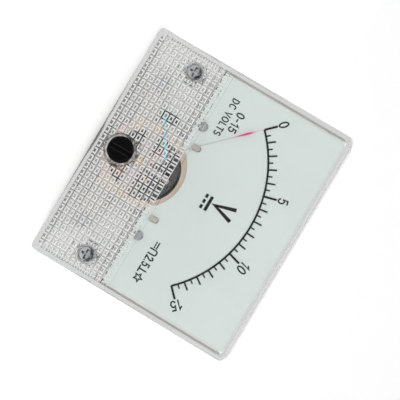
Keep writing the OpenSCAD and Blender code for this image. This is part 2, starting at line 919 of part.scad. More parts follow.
module front_pillars() {
    color("goldenrod")
        for (s = [-1, 1])
            pillar(s, bridge_back, dial_back, bridge_t + pillar_nut_t, frame_t + spigot_l);
}

// small nuts on the ends of the pillars
module front_bridge_nuts() {
    color("goldenrod")
        for (s = [-1, 1])
            tube(axis_x + s * pillar_ring, axis_z, pillar_r, spigot_r + seat_gap,
                bridge_y - pillar_nut_t, bridge_y);
}

// a slotted screw with a jewel cup in its inner end: tip is the cup's end, back the slotted end
module jewel_screw(tip, back) {
    s = sign(back - tip);
    translate([axis_x, tip, axis_z])
        rotate([-90 * s, 0, 0])
            difference() {
                cylinder(h = abs(back - tip), r = jewel_r);
                translate([0, 0, -eps])
                    cylinder(h = pivot_l + 0.2, r = pivot_r + fit_gap);
                translate([-jewel_r - 1, -0.2, abs(back - tip) - 0.4])
                    cube([2 * jewel_r + 2, 0.4, 1]);
            }
}

module front_jewel_screw() {
    color("gold")
        jewel_screw(front_jewel_back, bridge_y - 0.4);
}

module rear_bridge() {
    color("silver")
        difference() {
            union() {
                slab(rear_bridge_y, rear_bridge_back)
                    at_axis() {
                        strip([-pillar_ring, 0], [pillar_ring, 0], bridge_half);
                        strip([0, 0], [0, spring_r + 0.5], 1.2);
                    }
                slab(rear_spring_y, rear_bridge_y + eps)
                    at_axis()
                        spring_tab(0);
            }
            bar(axis_x, axis_z, jewel_r + fit_gap, rear_bridge_y - 1, rear_bridge_back + 1);
            for (s = [-1, 1])
                bar(axis_x + s * pillar_ring, axis_z, spigot_r + 0.1, rear_bridge_y - 1, rear_bridge_back + 1);
        }
}

// a tab that holds the outer end of a hairspring, at an angle from straight up
module spring_tab(angle) {
    rotate(-angle)
        translate([-0.4, spring_r + spring_t / 2])
            square([0.8, 0.7]);
}

module rear_pillars() {
    color("goldenrod")
        for (s = [-1, 1])
            pillar(s, yoke_back, rear_bridge_y, spigot_l, bridge_t + pillar_nut_t);
}

module rear_bridge_nuts() {
    color("goldenrod")
        for (s = [-1, 1])
            tube(axis_x + s * pillar_ring, axis_z, pillar_r, spigot_r + seat_gap, rear_bridge_back,
                rear_bridge_back + pillar_nut_t);
}

module rear_jewel_screw() {
    color("gold")
        jewel_screw(rear_jewel_y, rear_bridge_back + 1.4);
}

module rear_lock_nut() {
    color("goldenrod")
        nut(axis_x, axis_z, 2 * jewel_r + 1.8, jewel_r + seat_gap, rear_bridge_back, rear_bridge_back + 0.9);
}

// a flat spiral strip that ends under its tab, at an angle from straight up
module hairspring(y0, angle) {
    steps = round(24 * spring_turns);
    inner = collet_r + 0.35;
    spiral = [for (i = [0:steps])
        let (f = i / steps, a = 90 - angle - 360 * spring_turns * (1 - f), r = inner + (spring_r - inner) * f)
        [r, a]];
    outline = concat(
        [for (p = spiral) (p[0] + spring_t / 2) * [cos(p[1]), sin(p[1])]],
        [for (i = [steps:-1:0]) (spiral[i][0] - spring_t / 2) * [cos(spiral[i][1]), sin(spiral[i][1])]]);
    slab(y0, y0 + spring_w)
        at_axis()
            polygon(outline);
}

module rear_hairspring() {
    color("peru")
        hairspring(rear_spring_y, 0);
}

// ---------- wiring ----------

module resistor() {
    collar = resistor_l / 5;
    half = resistor_l / 2;
    waist_r = 0.85 * resistor_r;
    color("tan")
        translate(resistor_pos)
            rotate([0, 90, 0]) {
                rotate_extrude()
                    polygon([[0, -half], [0.8 * resistor_r, -half],
                        [resistor_r, -half + 0.4], [resistor_r, -half + collar],
                        [waist_r, -half + 1.3 * collar], [waist_r, half - 1.3 * collar],
                        [resistor_r, half - collar], [resistor_r, half - 0.4],
                        [0.8 * resistor_r, half], [0, half]]);
                cylinder(h = 2 * resistor_end, r = resistor_wire_r, center = true);
            }
}

module lead_blue() {
    color("darkturquoise")
        wire(blue_route, lead_r, 3, [0.2, 0.1, 1]);
}

module lead_red() {
    color("firebrick")
        wire(red_route, lead_r, 3, [0.3, 0.2, 1]);
}

module lead_link() {
    color("black")
        wire(link_route, lead_r, 3, [0.3, 1, -0.6]);
}

// ---------- zero adjuster and its lever ----------

module zero_adjuster() {
    front = -cover_d - knob_proud;
    knob_back = -cover_d + recess_d - run_gap;
    slot_d = 0.9;
    color("black")
        difference() {
            union() {
                translate([axis_x, front, adjuster_z])
                    rotate([-90, 0, 0])
                        rotate_extrude()
                            polygon([[0, 0], [knob_r - 0.5, 0], [knob_r, 0.5], [knob_r, knob_back - front],
                                [shaft_r, knob_back - front], [shaft_r, retainer_back - front],
                                [0, retainer_back - front]]);
                bar(axis_x, adjuster_z - pin_throw, pin_r, retainer_back - 0.5, lever_back + 0.1);
            }
            translate([axis_x - slot_w / 2, front - 1, adjuster_z - knob_r - 1])
                cube([slot_w, slot_d + 1, 2 * knob_r + 2]);
        }
}

module adjuster_retainer() {
    color("silver")
        tube(axis_x, adjuster_z, shaft_r + 1, shaft_r + seat_gap, retainer_y, retainer_back);
}

// an arm about the pointer's axis: its fork takes the eccentric pin, its tab the hairspring
module zero_lever() {
    reach = adjuster_drop + pin_throw;
    slot_half = pin_r + fork_gap;
    arm_half = slot_half + 0.6;
    color("whitesmoke")
        difference() {
            union() {
                slab(lever_y, lever_back)
                    at_axis() {
                        circle(jewel_r + 1);
                        translate([-arm_half, -reach - 1.2])
                            square([2 * arm_half, reach + 1.2]);
                        rotate(-lever_lean)
                            translate([-0.6, 0])
                                square([1.2, 9]);
                    }
                slab(lever_back - eps, front_spring_y + spring_w)
                    at_axis()
                        spring_tab(lever_lean);
            }
            bar(axis_x, axis_z, jewel_r + fit_gap, lever_y - 1, lever_back + 1);
            slab(lever_y - 1, lever_back + 1)
                at_axis()
                    translate([-slot_half, -reach - 2])
                        square([2 * slot_half, 3.2]);
        }
}

module front_hairspring() {
    color("peru")
        hairspring(front_spring_y, lever_lean);
}

// ---------- moving coil and pointer, drawn at the first mark of the scale ----------

// flat work that turns with the pointer: +Y of the outline points at the scale
module at_pointer() {
    at_axis()
        rotate(rest_angle)
            children();
}

module pointer() {
    spear = 0.68 * pointer_l;
    neck = 0.85 * pointer_l;
    right = [[needle_half, 1], [0.14, spear - 0.8], [0.3, spear + 1.2], [0.11, neck], [0.07, pointer_l]];
    color("crimson")
        slab(pointer_y, pointer_back)
            at_pointer()
                difference() {
                    polygon(concat(right, [for (i = [len(right) - 1:-1:0]) [-right[i][0], right[i][1]]]));
                    circle(hub_r + seat_gap);
                }
}

module pointer_hub() {
    color("silver")
        slab(hub_y, hub_y + hub_l)
            at_pointer()
                difference() {
                    union() {
                        circle(hub_r);
                        for (a = [90, 180, 270])
                            rotate(a)
                                translate([-0.25, 0])
                                    square([0.5, balance_arm]);
                    }
                    circle(staff_r + seat_gap);
                }
}

// small weights on the three arms that balance the pointer
module balance_weights() {
    color("gold")
        at_pointer_3d()
            for (a = [90, 180, 270])
                rotate([0, -a, 0])
                    translate([0, hub_y + hub_l / 2, balance_arm + seat_gap]) {
                        size = a == 180 ? main_weight : side_weight;
                        cylinder(h = size[1], r = size[0]);
                    }
}

// solid work that turns with the pointer: +Z of the work points at the scale
module at_pointer_3d() {
    translate([axis_x, 0, axis_z])
        rotate([0, -rest_angle, 0])
            children();
}

// a staff: a foot on the winding, the stem and a fine pivot at its end
module staff(foot, end) {
    s = sign(end - foot);
    translate([axis_x, foot, axis_z])
        rotate([-90 * s, 0, 0])
            rotate_extrude()
                polygon([[0, 0], [1.4, 0], [1.4, 0.3], [staff_r, 0.3], [staff_r, abs(end - foot) - pivot_l - 0.1],
                    [pivot_r, abs(end - foot) - pivot_l - 0.1], [pivot_r, abs(end - foot)], [0, abs(end - foot)]]);
}

module front_staff() {
    color("silver")
        staff(winding_y, front_jewel_back - pivot_l);
}

module rear_staff() {
    color("silver")
        staff(winding_back, rear_jewel_y + pivot_l);
}

module front_collet() {
    color("goldenrod")
        tube(axis_x, axis_z, collet_r, staff_r + seat_gap, front_spring_y, front_spring_y + spring_w);
}

module rear_collet() {
    color("goldenrod")
        tube(axis_x, axis_z, collet_r, staff_r + seat_gap, rear_spring_y, rear_spring_back);
}

// a rectangular loop round the core: half is its inner half width
module coil_loop(half, y0, y1, t, w) {
    at_pointer_3d()
        difference() {
            translate([-w / 2, y0 - t, -half - t])
                cube([w, y1 - y0 + 2 * t, 2 * (half + t)]);
            translate([-w / 2 - 1, y0, -half])
                cube([w + 2, y1 - y0, 2 * half]);
        }
}

module coil_former() {
    color("lightgray")
        coil_loop(core_r + coil_gap, core_y - coil_gap, core_back + coil_gap, former_t, winding_w + 0.2);
}

module coil_winding() {
    color("chocolate")
        coil_loop(core_r + coil_gap + former_t, core_y - coil_gap - former_t,
            core_back + coil_gap + former_t, winding_t, winding_w);
}

cover();
base();
rear_cap();
rear_cap_screws();
mounting_studs();
mounting_washers();
mounting_spring_washers();
mounting_nuts();
terminal_stud_left();
terminal_stud_right();
terminal_base_nuts();
solder_lugs();
terminal_washers();
terminal_spring_washers();
terminal_nuts();
dial_plate();
scale_marks();
dial_screws();
movement_frame();
frame_screws();
stop_pins();
yoke_ring();
magnet_core();
core_spacers();
front_bridge();
front_pillars();
front_bridge_nuts();
front_jewel_screw();
rear_bridge();
rear_pillars();
rear_bridge_nuts();
rear_jewel_screw();
rear_lock_nut();
rear_hairspring();
resistor();
lead_blue();
lead_red();
lead_link();
zero_adjuster();
adjuster_retainer();
zero_lever();
front_hairspring();
pointer();
pointer_hub();
balance_weights();
front_staff();
rear_staff();
front_collet();
rear_collet();
coil_former();
coil_winding();
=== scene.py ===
"""Analog panel meter: finishes, lettering, threads and stage for the packed model.

Metres throughout. X runs across the face, Z up it, and Y from the window back into the panel.
"""

import json
import math

import bmesh
import bpy
from mathutils import Matrix, Vector


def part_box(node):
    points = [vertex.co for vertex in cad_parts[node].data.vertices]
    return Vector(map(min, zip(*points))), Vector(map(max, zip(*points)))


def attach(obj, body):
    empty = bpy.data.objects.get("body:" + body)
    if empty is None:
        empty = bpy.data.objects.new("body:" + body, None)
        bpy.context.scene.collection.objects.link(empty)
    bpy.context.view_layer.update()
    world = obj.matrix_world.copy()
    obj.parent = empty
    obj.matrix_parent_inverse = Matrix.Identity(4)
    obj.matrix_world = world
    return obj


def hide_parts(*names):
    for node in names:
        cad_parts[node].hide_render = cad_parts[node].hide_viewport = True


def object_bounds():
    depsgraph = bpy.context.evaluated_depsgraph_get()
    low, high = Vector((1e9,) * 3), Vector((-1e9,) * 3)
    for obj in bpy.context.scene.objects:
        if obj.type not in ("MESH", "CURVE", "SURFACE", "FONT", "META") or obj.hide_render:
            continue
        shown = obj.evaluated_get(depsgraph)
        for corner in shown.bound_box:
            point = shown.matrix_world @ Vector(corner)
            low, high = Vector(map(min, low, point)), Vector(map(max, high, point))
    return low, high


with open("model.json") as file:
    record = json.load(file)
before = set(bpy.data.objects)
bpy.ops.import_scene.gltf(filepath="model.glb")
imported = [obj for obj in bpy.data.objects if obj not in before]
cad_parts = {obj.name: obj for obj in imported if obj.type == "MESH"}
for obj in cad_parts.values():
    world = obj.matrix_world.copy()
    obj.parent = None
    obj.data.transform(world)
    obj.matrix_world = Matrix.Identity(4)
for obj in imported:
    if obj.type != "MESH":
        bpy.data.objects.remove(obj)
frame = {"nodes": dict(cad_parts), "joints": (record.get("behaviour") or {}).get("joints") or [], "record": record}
CAD_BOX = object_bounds()

bl_info = {
    "name": "Analog panel meter",
    "version": (1, 0, 0),
    "blender": (4, 5, 0),
    "location": "View3D > Sidebar > Panel meter",
    "description": "Finishes, lettering, threads and stage for a moving-coil panel meter",
    "category": "Object",
}

MM = 0.001
NODES = frame["nodes"]
JOINTS = {joint["name"]: joint for joint in frame["joints"]}
SLOT_OF = {row["node"]: row["material_slot"] for row in frame["record"]["subparts"]}
AXIS = Vector(JOINTS["pointer_turn"]["pos_m"])
KNOB = Vector(JOINTS["adjuster_turn"]["pos_m"])
DIAL_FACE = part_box("dial_plate")[0].y
COVER_FRONT, BAND_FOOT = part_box("cover")[0].y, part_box("cover")[0].z
WINDOW_BACK = COVER_FRONT + 2 * MM
BAND_TOP = BAND_FOOT + 21.1 * MM
KNOB_LOW, KNOB_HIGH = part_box("zero_adjuster")
RECESS_R = (KNOB_HIGH.x - KNOB_LOW.x) / 2 + 0.7 * MM
OPENING, OPENING_R = Vector((0.1 * MM, 0, -13 * MM)), 7.8 * MM
STUD_LOW, STUD_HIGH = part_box("mounting_studs")
STUD_HEAD_R = (STUD_HIGH.z - STUD_LOW.z) / 2
STUD_X = (STUD_LOW.x + STUD_HEAD_R, STUD_HIGH.x - STUD_HEAD_R)
STUD_Z = (STUD_LOW.z + STUD_HIGH.z) / 2
STUD_THREAD_R, STUD_THREAD_START = 1.5 * MM, -3 * MM
TERMINAL_THREAD_R = 2 * MM
TERMINALS = ("terminal_stud_left", "terminal_stud_right")
SWEEP = math.radians(90)
AT_ZERO = Vector((-math.sin(SWEEP / 2), 0, math.cos(SWEEP / 2)))
LAST_NUMBER, NUMBER_STEP = 15, 5
SHARP = 32
WHITE = (1, 1, 1, 1)


# ---------------------------------------------------------------- settings


class PANELMETER_PG_finishes(bpy.types.PropertyGroup):
    """Colours and gloss of the meter's finishes."""

    dial_colour: bpy.props.FloatVectorProperty(
        name="Dial colour", description="Enamel of the dial plate", subtype="COLOR",
        size=3, min=0, max=1, default=(0.835, 0.925, 0.892))
    ink_colour: bpy.props.FloatVectorProperty(
        name="Ink colour", description="Print on the dial", subtype="COLOR",
        size=3, min=0, max=1, default=(0.003, 0.003, 0.0035))
    tip_colour: bpy.props.FloatVectorProperty(
        name="Pointer tip colour", description="Paint on the outer part of the pointer",
        subtype="COLOR", size=3, min=0, max=1, default=(0.88, 0.04, 0.2))
    case_colour: bpy.props.FloatVectorProperty(
        name="Case colour", description="Moulded base and rear cap", subtype="COLOR",
        size=3, min=0, max=1, default=(0.78, 0.78, 0.76))
    passivated_colour: bpy.props.FloatVectorProperty(
        name="Passivated steel", description="Main tone of the movement's frame", subtype="COLOR",
        size=3, min=0, max=1, default=(0.82, 0.66, 0.55))
    window_roughness: bpy.props.FloatProperty(
        name="Window roughness", description="Roughness of the clear cover",
        subtype="FACTOR", min=0, max=0.3, default=0.015)
    band_roughness: bpy.props.FloatProperty(
        name="Band roughness", description="Extra roughness of the moulded prisms behind the band",
        subtype="FACTOR", min=0, max=0.5, default=0.1)
    winding_pitch: bpy.props.FloatProperty(
        name="Winding pitch", description="Distance between the turns of the coil",
        unit="LENGTH", min=0.00005, max=0.0005, default=0.00016, precision=5)


class PANELMETER_PG_lettering(bpy.types.PropertyGroup):
    """Sizes of the print on the dial."""

    number_height: bpy.props.FloatProperty(
        name="Number height", description="Height of the numbers on the scale",
        unit="LENGTH", min=0.001, max=0.005, default=0.00255, precision=4)
    number_stroke: bpy.props.FloatProperty(
        name="Number stroke", description="Stroke width of the numbers",
        unit="LENGTH", min=0.0001, max=0.0008, default=0.00037, precision=5)
    number_ring: bpy.props.FloatProperty(
        name="Number ring", description="Distance of the numbers from the pointer's axis",
        unit="LENGTH", min=0.03, max=0.042, default=0.0368, precision=4)
    unit_height: bpy.props.FloatProperty(
        name="Unit height", description="Height of the large unit letter",
        unit="LENGTH", min=0.002, max=0.009, default=0.0058, precision=4)
    unit_stroke: bpy.props.FloatProperty(
        name="Unit stroke", description="Stroke width of the large unit letter",
        unit="LENGTH", min=0.0003, max=0.0015, default=0.00098, precision=5)
    symbol_height: bpy.props.FloatProperty(
        name="Symbol height", description="Height of the row of instrument symbols",
        unit="LENGTH", min=0.001, max=0.004, default=0.0021, precision=4)
    print_depth: bpy.props.FloatProperty(
        name="Print depth", description="How far the ink stands proud of the dial",
        unit="LENGTH", min=0.00001, max=0.0001, default=0.00005, precision=5)


class PANELMETER_PG_threads(bpy.types.PropertyGroup):
    """Threads of the studs and the terminals."""

    stud_pitch: bpy.props.FloatProperty(
        name="Stud thread pitch", description="Pitch of the mounting studs' thread",
        unit="LENGTH", min=0.0003, max=0.001, default=0.0005, precision=5)
    terminal_pitch: bpy.props.FloatProperty(
        name="Terminal thread pitch", description="Pitch of the terminals' thread",
        unit="LENGTH", min=0.0004, max=0.0012, default=0.0007, precision=5)
    depth_share: bpy.props.FloatProperty(
        name="Thread depth", description="Depth of a thread as a share of its pitch",
        subtype="FACTOR", min=0.3, max=0.7, default=0.58)


class PANELMETER_PG_stage(bpy.types.PropertyGroup):
    """Camera, lamps and floor."""

    camera_distance: bpy.props.FloatProperty(
        name="Camera distance", description="From the camera to the middle of the face",
        unit="LENGTH", min=0.2, max=2, default=0.402)
    camera_elevation: bpy.props.FloatProperty(
        name="Camera elevation", description="Angle of the camera above the face's axis",
        subtype="ANGLE", unit="ROTATION", default=math.radians(5))
    camera_roll: bpy.props.FloatProperty(
        name="Camera roll", description="Turn of the camera about its own axis",
        subtype="ANGLE", unit="ROTATION", default=math.radians(120.85))
    lens: bpy.props.FloatProperty(
        name="Lens", description="Focal length for a 36 mm sensor", min=50, max=300, default=145.7)
    ambient: bpy.props.FloatProperty(
        name="Ambient level", description="Strength of the even light from all round",
        min=0, max=2, default=0.62)
    side_level: bpy.props.FloatProperty(
        name="Side level", description="How bright the surround beside and before the clear cover is",
        min=0, max=1, default=0.88)
    lamp_level: bpy.props.FloatProperty(
        name="Lamp level", description="Multiplies the power of every lamp", min=0, max=4, default=1)


SETTINGS = {
    "panel_meter_finishes": PANELMETER_PG_finishes,
    "panel_meter_lettering": PANELMETER_PG_lettering,
    "panel_meter_threads": PANELMETER_PG_threads,
    "panel_meter_stage": PANELMETER_PG_stage,
}


# ---------------------------------------------------------------- node wiring


class Wiring:
    """Adds nodes to one node tree: a socket given as an input value is linked."""

    def __init__(self, tree):
        self.tree = tree

    def feed(self, socket, value):
        """Links a socket to an input, or sets the input's own value."""
        if isinstance(value, bpy.types.NodeSocket):
            self.tree.links.new(value, socket)
        else:
            socket.default_value = value

    def add(self, kind, inputs=None, **options):
        made = self.tree.nodes.new(kind)
        for key, value in options.items():
            setattr(made, key, value)
        for key, value in (inputs or {}).items():
            self.feed(made.inputs[key], value)
        return made

    def math(self, operation, a, b=0.0, c=0.0, clamp=False):
        made = self.add("ShaderNodeMath", {0: a, 1: b, 2: c}, operation=operation, use_clamp=clamp)
        return made.outputs[0]

    def vector(self, operation, a, b=(0, 0, 0)):
        made = self.add("ShaderNodeVectorMath", {0: a, 1: b}, operation=operation)
        return made.outputs["Value" if operation in ("DOT_PRODUCT", "LENGTH", "DISTANCE") else "Vector"]

    def place(self):
        """The point on the piece, in metres, which turns with its body."""
        return self.add("ShaderNodeTexCoord").outputs["Object"]

    def noise(self, scale, detail=2.0, roughness=0.5, vector=None):
        return self.add("ShaderNodeTexNoise", {
            "Vector": vector or self.place(), "Scale": scale, "Detail": detail, "Roughness": roughness,
        }).outputs["Fac"]

    def ramp(self, value, low, high, start=0.0, end=1.0):
        """The value carried from low..high to start..end, held at both ends."""
        return self.add("ShaderNodeMapRange", {
            "Value": value, "From Min": low, "From Max": high, "To Min": start, "To Max": end,
        }).outputs["Result"]

    def mix(self, factor, a, b):
        made = self.add("ShaderNodeMix", data_type="RGBA")
        for key, value in (("Factor", factor), (6, a), (7, b)):
            self.feed(made.inputs[key], value)
        return made.outputs[2]

    def use(self, effect, **inputs):
        """Places one of the shared effects and hands out its outputs."""
        made = self.add("ShaderNodeGroup", node_tree=effect())
        for key, value in inputs.items():
            self.feed(made.inputs[key], value)
        return made.outputs

    def off_line(self, centre):
        """Distance of the shaded point from a line along Y through the centre."""
        off = self.vector("SUBTRACT", self.place(), tuple(centre))
        return self.vector("LENGTH", self.vector("MULTIPLY", off, (1, 0, 1)))


def rgba(colour):
    return (*tuple(colour)[:3], 1.0)


FLOAT, COLOUR, VECTOR = "NodeSocketFloat", "NodeSocketColor", "NodeSocketVector"


def effect(inputs, **outputs):
    """Makes a shared node group of the function, built the first time it is asked for."""
    def keep(build):
        def get():
            name = build.__name__
            if name in bpy.data.node_groups:
                return bpy.data.node_groups[name]
            tree = bpy.data.node_groups.new(name, "ShaderNodeTree")
            for label, kind, default in inputs:
                tree.interface.new_socket(
                    name=label, in_out="INPUT", socket_type=kind).default_value = default
            for label, kind in outputs.items():
                tree.interface.new_socket(name=label, in_out="OUTPUT", socket_type=kind)
            wiring = Wiring(tree)
            given = wiring.add("NodeGroupInput").outputs
            wiring.add("NodeGroupOutput", build(wiring, given))
            return tree
        return get
    return keep


@effect([("Scale", FLOAT, 3000.0), ("Coarse", FLOAT, 0.3)], Height=FLOAT, Speckle=FLOAT)
def surface_grain(wiring, given):
    """Fine even grain, as on moulded plastic or enamel: a height and a speckle mask."""
    place = wiring.place()
    fine = wiring.noise(given["Scale"], 3.0, 0.6, place)
    broad = wiring.noise(wiring.math("MULTIPLY", given["Scale"], 0.13), 2.0, 0.5, place)
    height = wiring.math("MULTIPLY_ADD", broad, given["Coarse"], fine)
    return {"Height": height, "Speckle": wiring.ramp(fine, 0.56, 0.7)}


@effect([("Roughness", FLOAT, 0.3), ("Spread", FLOAT, 0.1), ("Scale", FLOAT, 90.0)], Roughness=FLOAT)
def handling_marks(wiring, given):
    """Roughness that drifts over the surface, with faint fine scratches."""
    place = wiring.place()
    drift = wiring.ramp(wiring.noise(given["Scale"], 3.0, 0.6, place), 0.3, 0.7, -0.5, 0.5)
    long_way, across = (
        wiring.noise(1.0, 1.0, 0.5, wiring.vector("MULTIPLY", place, stretch))
        for stretch in ((900.0, 900.0, 45.0), (60.0, 1100.0, 1100.0)))
    scratches = wiring.ramp(wiring.math("MAXIMUM", long_way, across), 0.7, 0.78)
    rough = wiring.math("MULTIPLY_ADD", drift, given["Spread"], given["Roughness"])
    deepest = wiring.math("MULTIPLY", given["Spread"], 0.6)
    return {"Roughness": wiring.math("MULTIPLY_ADD", scratches, deepest, rough, True)}


@effect([("Colour", COLOUR, (0.5, 0.5, 0.5, 1)), ("Second", COLOUR, (0.4, 0.4, 0.4, 1)),
         ("Scale", FLOAT, 200.0), ("Amount", FLOAT, 0.5)], Colour=COLOUR)
def tone_drift(wiring, given):
    """Two tones of one colour that drift into each other, as in plating, brass or enamel."""
    cloud = wiring.ramp(wiring.noise(given["Scale"], 4.0, 0.55), 0.35, 0.68)
    mask = wiring.math("MULTIPLY", cloud, given["Amount"])
    return {"Colour": wiring.mix(mask, given["Colour"], given["Second"])}


@effect([("Stretch", VECTOR, (200.0, 9000.0, 200.0))], Height=FLOAT)
def tool_lines(wiring, given):
    """Fine lines left by a tool: noise drawn out along one way and packed across the others."""
    stretched = wiring.vector("MULTIPLY", wiring.place(), given["Stretch"])
    return {"Height": wiring.noise(1.0, 2.0, 0.6, stretched)}


@effect([("Radius", FLOAT, 0.0002), ("Amount", FLOAT, 1.0)], Mask=FLOAT)
def rubbed_edges(wiring, given):
    """A mask of the outer edges, where a finish is rubbed bright or thin."""
    rounded = wiring.add("ShaderNodeBevel", {"Radius": given["Radius"]}, samples=4).outputs["Normal"]
    flat = wiring.add("ShaderNodeNewGeometry").outputs["True Normal"]
    turn = wiring.math("SUBTRACT", 1.0, wiring.vector("DOT_PRODUCT", rounded, flat))
    uneven = wiring.ramp(wiring.noise(1500.0, 2.0, 0.6), 0.25, 0.7, 0.4, 1.0)
    share = wiring.math("MULTIPLY", uneven, given["Amount"])
    return {"Mask": wiring.math("MULTIPLY", wiring.ramp(turn, 0.01, 0.2), share)}


# ---------------------------------------------------------------- finishes


class Finish(Wiring):
    """A material under way: one Principled shader on its output."""

    def __init__(self, name, **constants):
        self.material = bpy.data.materials.new(name)
        self.material.use_nodes = True
        super().__init__(self.material.node_tree)
        self.tree.nodes.clear()
        self.shader = self.add("ShaderNodeBsdfPrincipled")
        self.out = self.add("ShaderNodeOutputMaterial", {"Surface": self.shader.outputs["BSDF"]})
        for key, value in constants.items():
            self.set(key, value)

    def set(self, key, value):
        self.feed(self.shader.inputs[key], value)

    def surface(self, shader):
        self.feed(self.out.inputs["Surface"], shader.outputs[0])

    def blend(self, factor, first, second):
        """Mixes two shader nodes by a factor."""
        return self.add("ShaderNodeMixShader", {0: factor, 1: first.outputs[0], 2: second.outputs[0]})

    def bump(self, height, distance, strength):
        self.set("Normal", self.add("ShaderNodeBump", {
            "Height": height, "Distance": distance, "Strength": strength}).outputs["Normal"])

    def tones(self, colour, second, scale, amount=0.8):
        """Two tones that drift into each other: the first may come from another effect."""
        first = colour if isinstance(colour, bpy.types.NodeSocket) else rgba(colour)
        inputs = {"Colour": first, "Second": rgba(second), "Scale": scale, "Amount": amount}
        return self.use(tone_drift, **inputs)["Colour"]

    def marks(self, roughness, spread, scale):
        """Drifting roughness with faint scratches."""
        return self.use(handling_marks, Roughness=roughness, Spread=spread, Scale=scale)["Roughness"]

    def grain(self, scale, coarse, depth, strength):
        """Puts fine grain in relief on the surface and hands out its speckle mask."""
        made = self.use(surface_grain, Scale=scale, Coarse=coarse)
        self.bump(made["Height"], depth, strength)
        return made["Speckle"]

    def rubbed(self, radius, amount):
        """The mask of the edges that are rubbed."""
        return self.use(rubbed_edges, Radius=radius, Amount=amount)["Mask"]


FINISHES = {}


def finish(build):
    """Registers the function that makes the finish of the slot it is named after."""
    FINISHES[build.__name__] = build
    return build


def material_for(slot):
    """The finish of a slot, made the first time it is asked for."""
    made = bpy.data.materials.get(slot + "_finish")
    if made:
        return made
    if slot in METALS:
        return plated(slot, **METALS[slot]).material
    if slot in SLEEVES:
        return sleeving(slot, SLEEVES[slot]).material
    return FINISHES[slot](bpy.context.scene.panel_meter_finishes).material


def plated(slot, colour, second, roughness, spread=0.12, lines=(900.0, 5000.0, 900.0), edge=None):
    """A plated or bare metal: drifting tone, tool lines, and edges rubbed to another colour."""
    made = Finish(slot + "_finish", Metallic=1.0)
    tone = made.tones(colour, second, 260.0)
    if edge:
        tone = made.mix(made.rubbed(0.15 * MM, 0.8), tone, rgba(edge))
    made.set("Base Color", tone)
    made.set("Roughness", made.marks(roughness, spread, 400.0))
    made.bump(made.use(tool_lines, Stretch=lines)["Height"], 0.012 * MM, 0.5)
    return made


def sleeving(slot, colour):
    """Soft plastic sleeving on a thin lead."""
    made = Finish(slot + "_finish", IOR=1.5)
    made.set("Base Color", made.tones(colour, Vector(colour) * 0.8, 500.0, 0.7))
    made.set("Roughness", made.marks(0.36, 0.12, 500.0))
    made.grain(3500.0, 0.8, 0.015 * MM, 0.5)
    return made


METALS = {
    "zinc_steel": dict(
        colour=(0.5, 0.51, 0.52), second=(0.36, 0.375, 0.395), roughness=0.27, edge=(0.72, 0.73, 0.74)),
    "nickel_steel": dict(
        colour=(0.56, 0.5, 0.47), second=(0.46, 0.42, 0.4), roughness=0.24, edge=(0.78, 0.74, 0.7)),
    "staff_steel": dict(colour=(0.62, 0.62, 0.63), second=(0.5, 0.5, 0.52), roughness=0.18),
    "brass": dict(
        colour=(0.72, 0.53, 0.27), second=(0.55, 0.4, 0.2), roughness=0.24, edge=(0.9, 0.76, 0.48)),
    "tinned_brass": dict(
        colour=(0.78, 0.77, 0.74), second=(0.68, 0.66, 0.6), roughness=0.34, edge=(0.84, 0.76, 0.55)),
    "soft_iron": dict(
        colour=(0.15, 0.147, 0.145), second=(0.1, 0.098, 0.096), roughness=0.4,
        lines=(2500.0, 300.0, 2500.0), edge=(0.28, 0.28, 0.27)),
    "bronze_spring": dict(colour=(0.78, 0.46, 0.24), second=(0.62, 0.36, 0.2), roughness=0.24),
    "bare_aluminium": dict(
        colour=(0.8, 0.81, 0.82), second=(0.72, 0.73, 0.74), roughness=0.32,
        lines=(600.0, 4000.0, 600.0)),
}
SLEEVES = {
    "blue_sleeving": (0.04, 0.68, 0.76),
    "red_sleeving": (0.6, 0.03, 0.03),
    "black_sleeving": (0.02, 0.02, 0.022),
}


@finish
def clear_plastic(settings):
    """Clear in the window, rough in the prisms, frosted in the recess, with painted shade in a dark ring round its
    rim.
    """
    made = Finish("clear_plastic_finish", IOR=1.5)
    made.set("Transmission Weight", 1.0)
    clear = made.marks(settings.window_roughness, 0.03, 70.0)
    parts = made.add("ShaderNodeSeparateXYZ", {0: made.place()}).outputs

    def depth(start, end):
        """0 at the first distance before the window's back, and 1 from the second on."""
        return made.ramp(parts["Y"], WINDOW_BACK - start * MM, WINDOW_BACK - end * MM)

    below_rib = made.ramp(parts["Z"], BAND_TOP, BAND_TOP - 0.2 * MM)
    prisms = made.math("MULTIPLY", depth(0.7, 0.5), below_rib)
    off_knob = made.off_line(KNOB)
    in_recess = made.ramp(off_knob, RECESS_R - 0.02 * MM, RECESS_R - 0.1 * MM)
    frosted = made.math("MULTIPLY", in_recess, depth(0.8, 0.9))
    rough = made.math("MULTIPLY_ADD", prisms, settings.band_roughness, clear)
    made.set("Roughness", made.math("MULTIPLY_ADD", frosted, 0.4, rough, True))
    off_rim = made.math("ABSOLUTE", made.math("SUBTRACT", off_knob, RECESS_R))
    # painted shade: the cover is tinted dark in a thin ring round the rim of the adjuster's recess, standing in
    # for the shade line at its moulded edge
    shade = made.math("MULTIPLY", made.ramp(off_rim, 0.28 * MM, 0.12 * MM), depth(0.9, 1.1))
    made.set("Base Color", made.mix(shade, (0.99, 0.99, 0.99, 1), (0.08, 0.08, 0.08, 1)))
    made.grain(120.0, 2.0, 0.02 * MM, 0.03)
    paths = made.add("ShaderNodeLightPath").outputs
    through = made.math("MAXIMUM", paths["Is Shadow Ray"], paths["Is Diffuse Ray"])
    open_air = made.add("ShaderNodeBsdfTransparent", {"Color": WHITE})
    made.surface(made.blend(through, made.shader, open_air))
    grey = {"Color": (0.905, 0.907, 0.907, 1), "Density": 200.0}
    made.feed(made.out.inputs["Volume"], made.add("ShaderNodeVolumeAbsorption", grey).outputs["Volume"])
    return made


